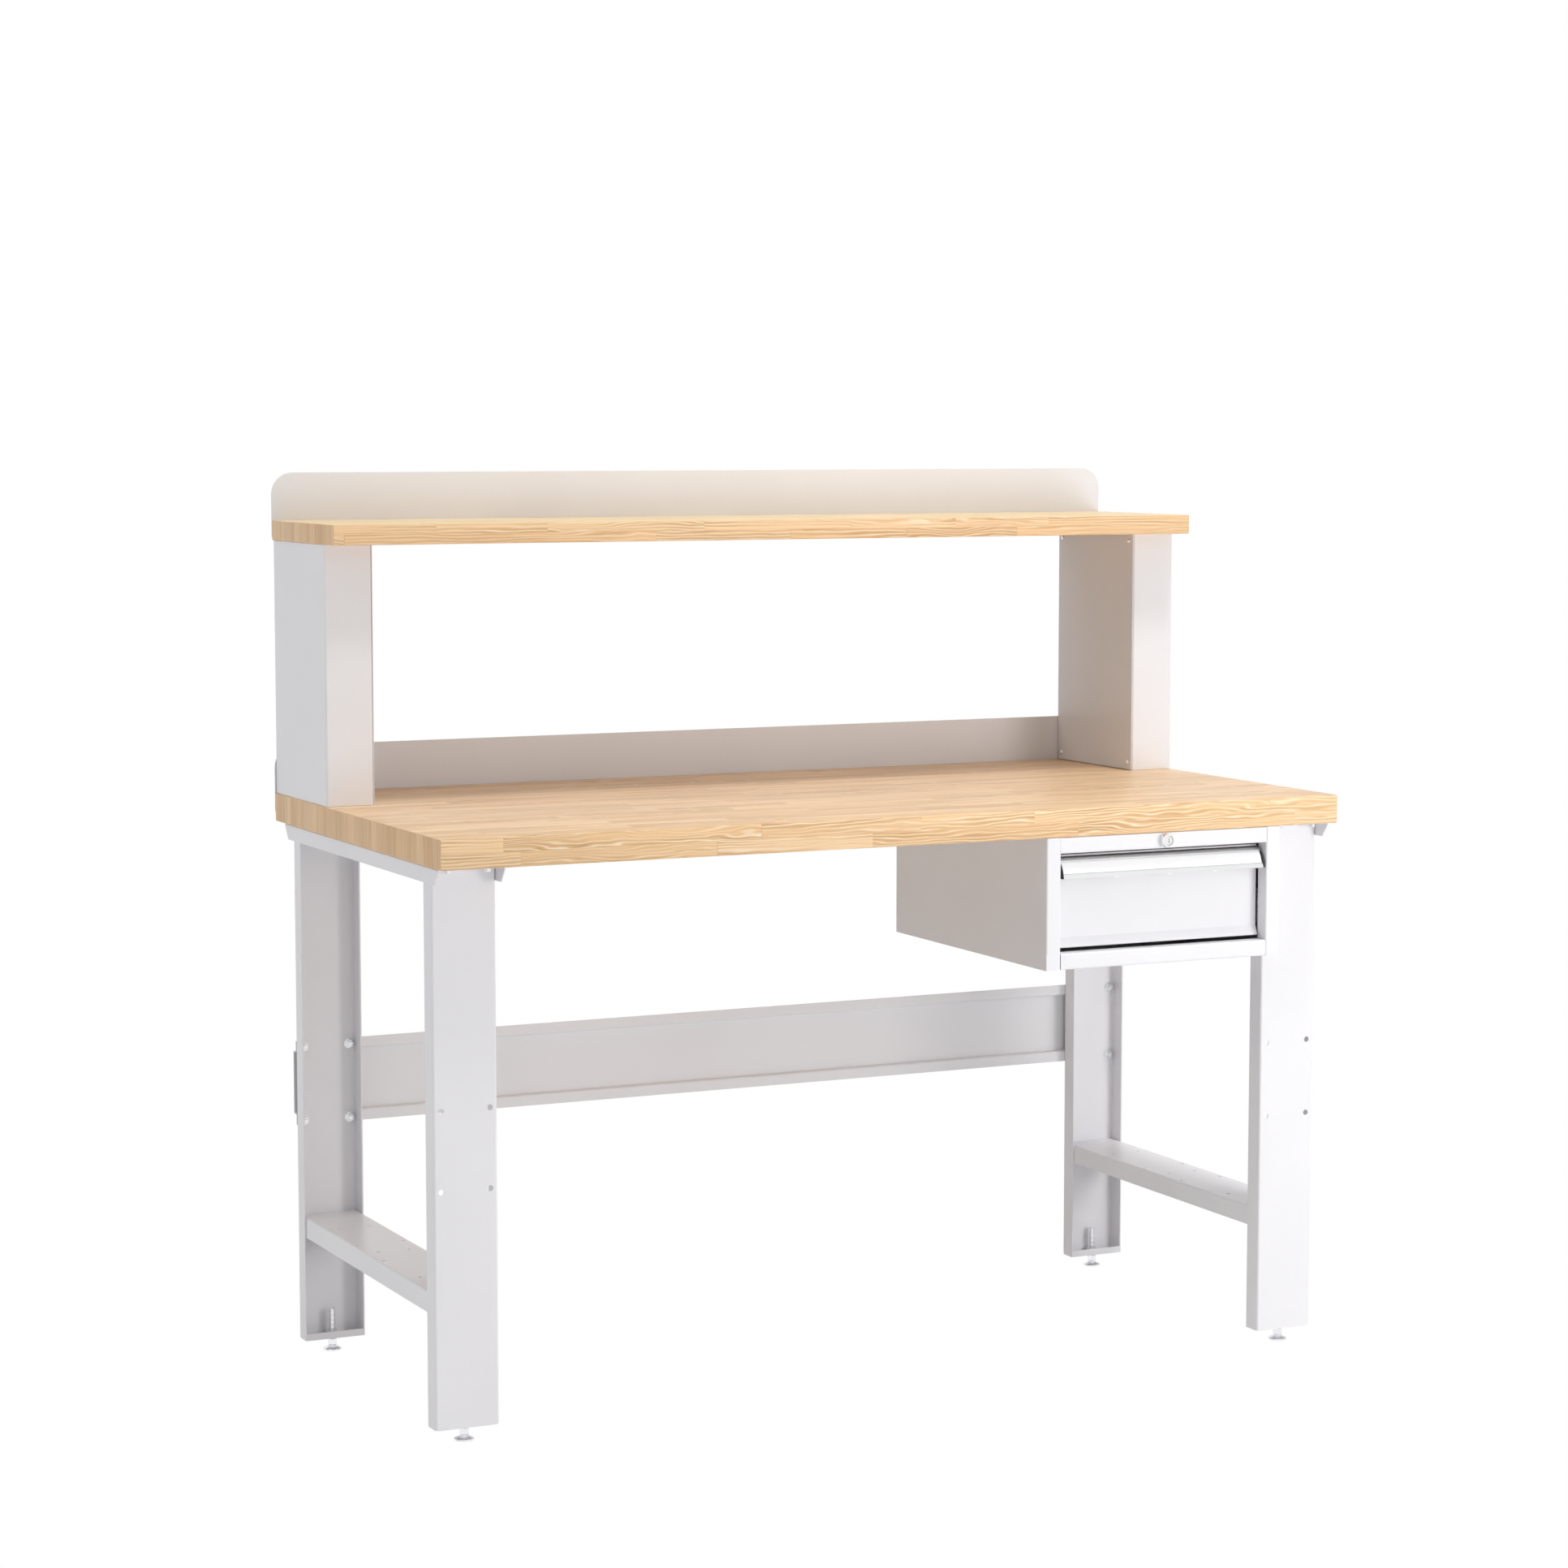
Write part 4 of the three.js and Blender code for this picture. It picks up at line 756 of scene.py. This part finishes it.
NUT_HEIGHT, TAIL, HEAD_HEIGHT, WASHER_HEIGHT = 6.8 * MM, 3.0 * MM, 4.5 * MM, 1.0 * MM
bolt_nodes = sorted(name for name in NODES if name.startswith("stringer_bolt_"))
marks = []
for name in bolt_nodes:
    low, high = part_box(name)
    seat = low.y + TAIL + NUT_HEIGHT
    marks.append((((low.x + high.x) / 2, seat, (low.z + high.z) / 2), (0, -1, 0)))
BOLT = {
    "Nut Radius": 7.2 * MM, "Nut Height": NUT_HEIGHT - WASHER_HEIGHT, "Washer Radius": 8.2 * MM,
    "Washer Height": WASHER_HEIGHT, "Bolt Radius": 4 * MM, "Tail": TAIL,
    "Grip": high.y - HEAD_HEIGHT - seat, "Head Radius": 5.5 * MM, "Head Height": HEAD_HEIGHT,
}
cast("stringer_bolts", bolt_tree, marks, BOLT, ZINC, "body", bolt_nodes)

# %% [markdown]
# ## Levelling feet
#
# Each leg stands on two screws with a round pad. Turning the screw by the flats above the pad levels
# the bench. From the floor up: a low pad with a rounded rim, a groove, the hexagon for the spanner and
# the threaded stud, which shows again inside the open back of a rear post. Each foot rides on its own
# body, so the same tree is cast four times with one mark each.

# %% Levelling feet
foot_tree, g, given = parts_tree("levelling_foot", [
    "Pad Radius", "Pad Height", "Groove Radius", "Groove Height", "Hex Radius", "Hex Height",
    "Stud Radius", "Stud Height", "Pitch"])
STUD_CHAMFER = 0.8 * MM
PAD_STEPS = [(0.08, 1.03), (0.28, 1.0), (0.12, 0.97), (0.52, 0.53)]
pad = turned(g, g.math("MULTIPLY", given["Pad Radius"], 0.97), 48,
             [(g.math("MULTIPLY", given["Pad Height"], part), scale) for part, scale in PAD_STEPS])
groove = turned(g, given["Groove Radius"], 32, [(given["Groove Height"], 1.0)])
hexagon = turned(g, g.math("MULTIPLY", given["Hex Radius"], 0.9), 6, [
    (g.math("MULTIPLY", given["Hex Height"], 0.1), 1.0 / 0.9),
    (g.math("MULTIPLY", given["Hex Height"], 0.8), 1.0),
    (g.math("MULTIPLY", given["Hex Height"], 0.1), 0.9)])
core = turned(g, g.math("MULTIPLY", given["Stud Radius"], 0.88), 24, [
    (g.math("ADD", given["Stud Height"], -STUD_CHAMFER), 1.0), (STUD_CHAMFER, 0.85)])
ridge = thread(g, g.math("MULTIPLY", given["Stud Radius"], 0.86), given["Pitch"],
               g.math("ADD", given["Stud Height"], -2 * STUD_CHAMFER), 14)
groove_base = given["Pad Height"]
hex_base = g.math("ADD", groove_base, given["Groove Height"])
stud_base = g.math("ADD", hex_base, given["Hex Height"])
whole = join(g, pad, lift(g, groove, groove_base), lift(g, hexagon, hex_base, math.radians(20)),
             lift(g, core, stud_base), lift(g, ridge, stud_base))
set_down(g, given, whole)

FOOT = {
    "Pad Radius": 15.25 * MM, "Pad Height": 6.5 * MM, "Groove Radius": 6.2 * MM, "Groove Height": 1.9 * MM,
    "Hex Radius": 7.5 * MM, "Hex Height": 11.0 * MM, "Stud Radius": 4.75 * MM, "Pitch": 1.5 * MM,
}
for place in ("front_left", "front_right", "rear_left", "rear_right"):
    low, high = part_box("foot_pad_" + place)
    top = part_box("foot_stud_" + place)[1].z
    FOOT["Stud Height"] = top - low.z - sum(FOOT[k] for k in ("Pad Height", "Groove Height", "Hex Height"))
    cast("levelling_foot_" + place, foot_tree,
         [(((low.x + high.x) / 2, (low.y + high.y) / 2, low.z), (0, 0, 1))], FOOT, ZINC,
         "foot_" + place, ["foot_pad_" + place, "foot_stud_" + place])

# %% [markdown]
# ## Dressed weld at the cabinet's corner
#
# The rails of the cabinet are welded to its left stile and the weld is ground flush under the paint, so
# no seam shows there. The two thin fillets fill the hairline between the parts, level with the face.

# %% Corner welds
WELD_REACH = 0.4 * MM
WELD_BACK = 0.02 * MM
WELD_DEPTH = 1.0 * MM
rail_low, rail_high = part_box("cabinet_lock_rail")
rail_height = rail_high.z - rail_low.z
weld = bmesh.new()
for rail in ("cabinet_lock_rail", "cabinet_floor"):
    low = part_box(rail)[0]
    solid_block(weld, (low.x - 4 * WELD_REACH, low.y + WELD_BACK, low.z + WELD_REACH),
                (low.x + WELD_REACH, low.y + WELD_DEPTH, low.z + rail_height - WELD_REACH))
keep("corner_welds", weld, PAINT, "body")

# %% [markdown]
# ## The drawer's pull
#
# The pull is an aluminium extrusion as wide as the drawer: a hood curves forward from the face, a seat
# slopes down and out, and a rounded lip hangs below it for the fingers. An extrusion is one outline
# pushed along a line, so the piece is made the same way: the outline is drawn in the plane of the end,
# filled and extruded. The outline's numbers are measured forward of the drawer's face and down
# from its top edge, as the CAD drawing has them; the hood and the lip get more points here, so that
# they shade as curves.

# %% Handle extrusion
handle_low, handle_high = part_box("drawer_handle")
PULL_GAP = 0.3
PULL_DROP = 2.3
FACE_FRONT = handle_high.y + PULL_GAP * MM
FACE_TOP = handle_high.z + PULL_DROP * MM


def arc(start, middle, end, count):
    """Points of a quadratic curve, without its last one."""
    points = []
    for n in range(count):
        t = n / count
        points.append(tuple((1 - t) ** 2 * a + 2 * t * (1 - t) * b + t * t * c
                            for a, b, c in zip(start, middle, end)))
    return points


HOOD = arc((PULL_GAP, PULL_DROP), (7.6, PULL_DROP), (14.0, 6.8), 12)
HOOD += arc((14.0, 6.8), (15.5, 8.0), (15.6, 9.6), 5)
SEAT = [(15.6, 9.6), (14.9, 9.9), (14.7, 10.2), (22.8, 28.5), (23.2, 28.7), (24.5, 28.3)]
LIP = arc((24.7, 28.4), (26.3, 31.0), (26.9, 34.4), 6) + arc((26.9, 34.4), (27.0, 35.5), (25.9, 35.5), 4)
LIP += arc((25.9, 35.5), (24.8, 35.5), (24.5, 34.6), 4)
INSIDE = arc((24.5, 34.6), (23.8, 31.6), (21.1, 29.4), 5) + [(21.1, 29.4)]
INSIDE += arc((12.6, 10.8), (10.6, 6.0), (4.0, 4.6), 6)
INSIDE += [(2.8, 4.6), (2.3, 5.2), (2.3, 22.0), (PULL_GAP, 22.0)]

sweep_tree = bpy.data.node_groups.new("extrusion", "GeometryNodeTree")
for label, kind, way in (("Outline", "NodeSocketGeometry", "INPUT"), ("Length", "NodeSocketFloat", "INPUT"),
                         ("Start", "NodeSocketFloat", "INPUT"), ("Material", "NodeSocketMaterial", "INPUT"),
                         ("Extrusion", "NodeSocketGeometry", "OUTPUT")):
    sweep_tree.interface.new_socket(label, in_out=way, socket_type=kind)
g = Graph(sweep_tree)
given = g.add("NodeGroupInput").outputs
outline = g.add("GeometryNodeMeshToCurve", {0: given["Outline"]}).outputs[0]
flat = g.add("GeometryNodeFillCurve", {"Curve": outline}, mode="NGONS").outputs[0]
flat = g.add("GeometryNodeTransform", {
    "Geometry": flat, "Rotation": (math.radians(90), 0.0, math.radians(90)),
    "Translation": g.xyz(given["Start"], 0.0, 0.0)}).outputs[0]
grown = g.add("GeometryNodeExtrudeMesh", {
    "Mesh": flat, "Offset": g.xyz(1.0, 0.0, 0.0), "Offset Scale": given["Length"], "Individual": False},
    mode="FACES").outputs["Mesh"]
solid = stitched(g, join(g, grown, g.add("GeometryNodeFlipFaces", {0: flat}).outputs[0]))
solid = g.add("GeometryNodeRealizeInstances", {0: solid}).outputs[0]
solid = g.add("GeometryNodeSetMaterial", {"Geometry": solid, "Material": given["Material"]}).outputs[0]
g.add("NodeGroupOutput", {0: solid})


def extrude_along(name, outline, start, length, material, body, replaced=()):
    """Sweeps an outline of (forward, down) millimetres along X."""
    mesh = bpy.data.meshes.new(name)
    points = [(FACE_FRONT - out * MM, FACE_TOP - down * MM, 0.0) for out, down in outline]
    count = len(points)
    mesh.from_pydata(points, [(n, (n + 1) % count) for n in range(count)], [])
    piece = bpy.data.objects.new(name, mesh)
    bpy.context.collection.objects.link(piece)
    made = run_tree(piece, sweep_tree, {"Length": length, "Start": start, "Material": material})
    bpy.data.objects.remove(piece)
    shape = bmesh.new()
    shape.from_mesh(made)
    keep(name, shape, material, body, replaced, 24)


extrude_along("handle_extrusion", HOOD + SEAT + LIP + INSIDE, handle_low.x, handle_high.x - handle_low.x,
              ALUMINIUM, "drawer", ["drawer_handle"])

# %% [markdown]
# ## Label strip and its tabs
#
# A blank card lies in the seat of the pull. It is a thin strip with a slight crown, so that it catches a
# band of light. Three small rounded tabs stand under the lip.

# %% Label strip and tabs
card_low, card_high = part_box("label_strip")
CARD_LINE = arc((16.6, 11.2), (21.0, 19.3), (23.9, 27.6), 10) + [(23.9, 27.6)]
CARD_BACK = [(22.7, 27.9), (15.6, 11.5)]
extrude_along("label_card", CARD_LINE + CARD_BACK, card_low.x, card_high.x - card_low.x, CARD, "drawer",
              ["label_strip"])

TAB_PLACES = (0.26, 0.525, 0.753)
TAB_HALF, TAB_DROP, TAB_THICK = 5.0 * MM, 2.2 * MM, 1.4 * MM
TAB_FORWARD, TAB_LOW, TAB_HIGH = 26.4 * MM, 35.0 * MM, 34.2 * MM
TAB_STEPS = 12
tabs = bmesh.new()
for part in TAB_PLACES:
    centre = handle_low.x + part * (handle_high.x - handle_low.x)
    front = FACE_FRONT - TAB_FORWARD
    ring = []
    for n in range(TAB_STEPS + 1):
        angle = math.pi * n / TAB_STEPS
        ring.append((centre - TAB_HALF * math.cos(angle), FACE_TOP - TAB_LOW - TAB_DROP * math.sin(angle)))
    ring += [(centre + TAB_HALF, FACE_TOP - TAB_HIGH), (centre - TAB_HALF, FACE_TOP - TAB_HIGH)]
    near = [tabs.verts.new((x, front, z)) for x, z in ring]
    far = [tabs.verts.new((x, front + TAB_THICK, z)) for x, z in ring]
    tabs.faces.new(near)
    tabs.faces.new(far[::-1])
    for n in range(len(ring)):
        after = (n + 1) % len(ring)
        tabs.faces.new((near[n], far[n], far[after], near[after]))
keep("label_tabs", tabs, CARD, "drawer")

# %% [markdown]
# ## Screws inside the drawer
#
# Three pan heads on each inner wall of the tray hold the inner rails of the slides. They reuse the
# screw tree with smaller sizes, and they ride on the drawer.

# %% Tray screws
TRAY_SHEET = 1.0 * MM
TRAY_SCREW_PLACES = (0.12, 0.5, 0.88)
TRAY_END_INSET = 15 * MM
TRAY_PAN = {"Head Radius": 3.4 * MM, "Head Height": 1.6 * MM}
low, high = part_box("drawer_tray")
rail_low, rail_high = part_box("slide_inner_left")
level = (rail_low.z + rail_high.z) / 2
marks = []
for part in TRAY_SCREW_PLACES:
    y = rail_low.y + part * (rail_high.y - rail_low.y)
    y = min(max(y, low.y + TRAY_END_INSET), high.y - TRAY_END_INSET)
    marks += [((low.x + TRAY_SHEET, y, level), (1, 0, 0)), ((high.x - TRAY_SHEET, y, level), (-1, 0, 0))]
cast("tray_screws", screw_tree, marks, TRAY_PAN, ZINC, "drawer")

# %% [markdown]
# ## Floor and light
#
# A pale floor melts into a pale backdrop, so nothing but the bench draws the eye. Both are plain white
# to the camera and in mirrored rays, and light everything else softly: the floor as a grey bounce card,
# the sky strongest overhead and dark at the horizon. The trick is Light Path, whose Is Camera Ray and
# Is Glossy Ray outputs choose between the two. It is used on the stage only, never on the bench. Five
# round lamps shape the faces, and none of them shows as a spot in the metal or the lacquer.

# %% Stage
FLOOR_HALF = 30
FLOOR_BOUNCE = 0.75
SKY_ABOVE = 0.80
LAMP_TARGET = Vector((0, 0, 0.8))


def seen_or_mirrored(graph):
    """1 for rays from the camera and for mirrored ones, 0 for the rays that light things."""
    paths = graph.add("ShaderNodeLightPath").outputs
    return graph.math("MAXIMUM", paths["Is Camera Ray"], paths["Is Glossy Ray"])


floor_mesh = bpy.data.meshes.new("floor")
corners = [(x * FLOOR_HALF, y * FLOOR_HALF, 0) for x, y in ((-1, -1), (1, -1), (1, 1), (-1, 1))]
floor_mesh.from_pydata(corners, [], [(0, 1, 2, 3)])
floor = bpy.data.objects.new("floor", floor_mesh)
bpy.context.collection.objects.link(floor)
floor_look, g, shader = new_material("floor_white")
feed(g, shader, Base_Color=(FLOOR_BOUNCE,) * 3, Roughness=1.0, Specular_IOR_Level=0.0)
white = g.add("ShaderNodeEmission", {"Strength": 1.0}).outputs[0]
both = g.add("ShaderNodeMixShader", {0: seen_or_mirrored(g), 1: shader.outputs[0], 2: white}).outputs[0]
g.tree.links.new(both, g.tree.nodes["Material Output"].inputs["Surface"])
floor_mesh.materials.append(floor_look)

world = bpy.data.worlds.new("studio")
bpy.context.scene.world = world
world.use_nodes = True
g = Graph(world.node_tree)
upward = g.split(g.add("ShaderNodeTexCoord").outputs["Generated"])[2]
sky = g.math("MULTIPLY", g.math("MAXIMUM", upward, 0.0), SKY_ABOVE)
backdrop = g.tree.nodes["Background"].inputs
g.tree.links.new(g.math("MAXIMUM", sky, seen_or_mirrored(g)), backdrop["Strength"])
backdrop["Color"].default_value = (1.0, 1.0, 1.0, 1.0)


def lamp(name, place, size, power):
    """A round soft lamp aimed at the middle of the bench."""
    light = bpy.data.lights.new(name, "AREA")
    light.shape = "DISK"
    light.size = size
    light.energy = power
    thing = bpy.data.objects.new(name, light)
    bpy.context.collection.objects.link(thing)
    thing.location = place
    thing.visible_camera = False
    thing.visible_glossy = False
    thing.rotation_mode = "QUATERNION"
    thing.rotation_quaternion = (LAMP_TARGET - Vector(place)).to_track_quat("-Z", "Y")


LAMPS = [
    ("overhead", (1.0, -1.1, 5.0), 0.5, 74),
    ("fill_left", (-6.0, 0.5, 2.5), 2.5, 60),
    ("key_right", (3.0, -5.0, 3.5), 2.0, 30),
    ("low_front", (-0.5, -6.0, 0.9), 2.0, 46),
    ("near_right", (1.4, -2.4, 0.9), 0.8, 20),
]
for entry in LAMPS:
    lamp(*entry)
bpy.context.scene.view_settings.view_transform = "Standard"
print("lamps", [entry[0] for entry in LAMPS])
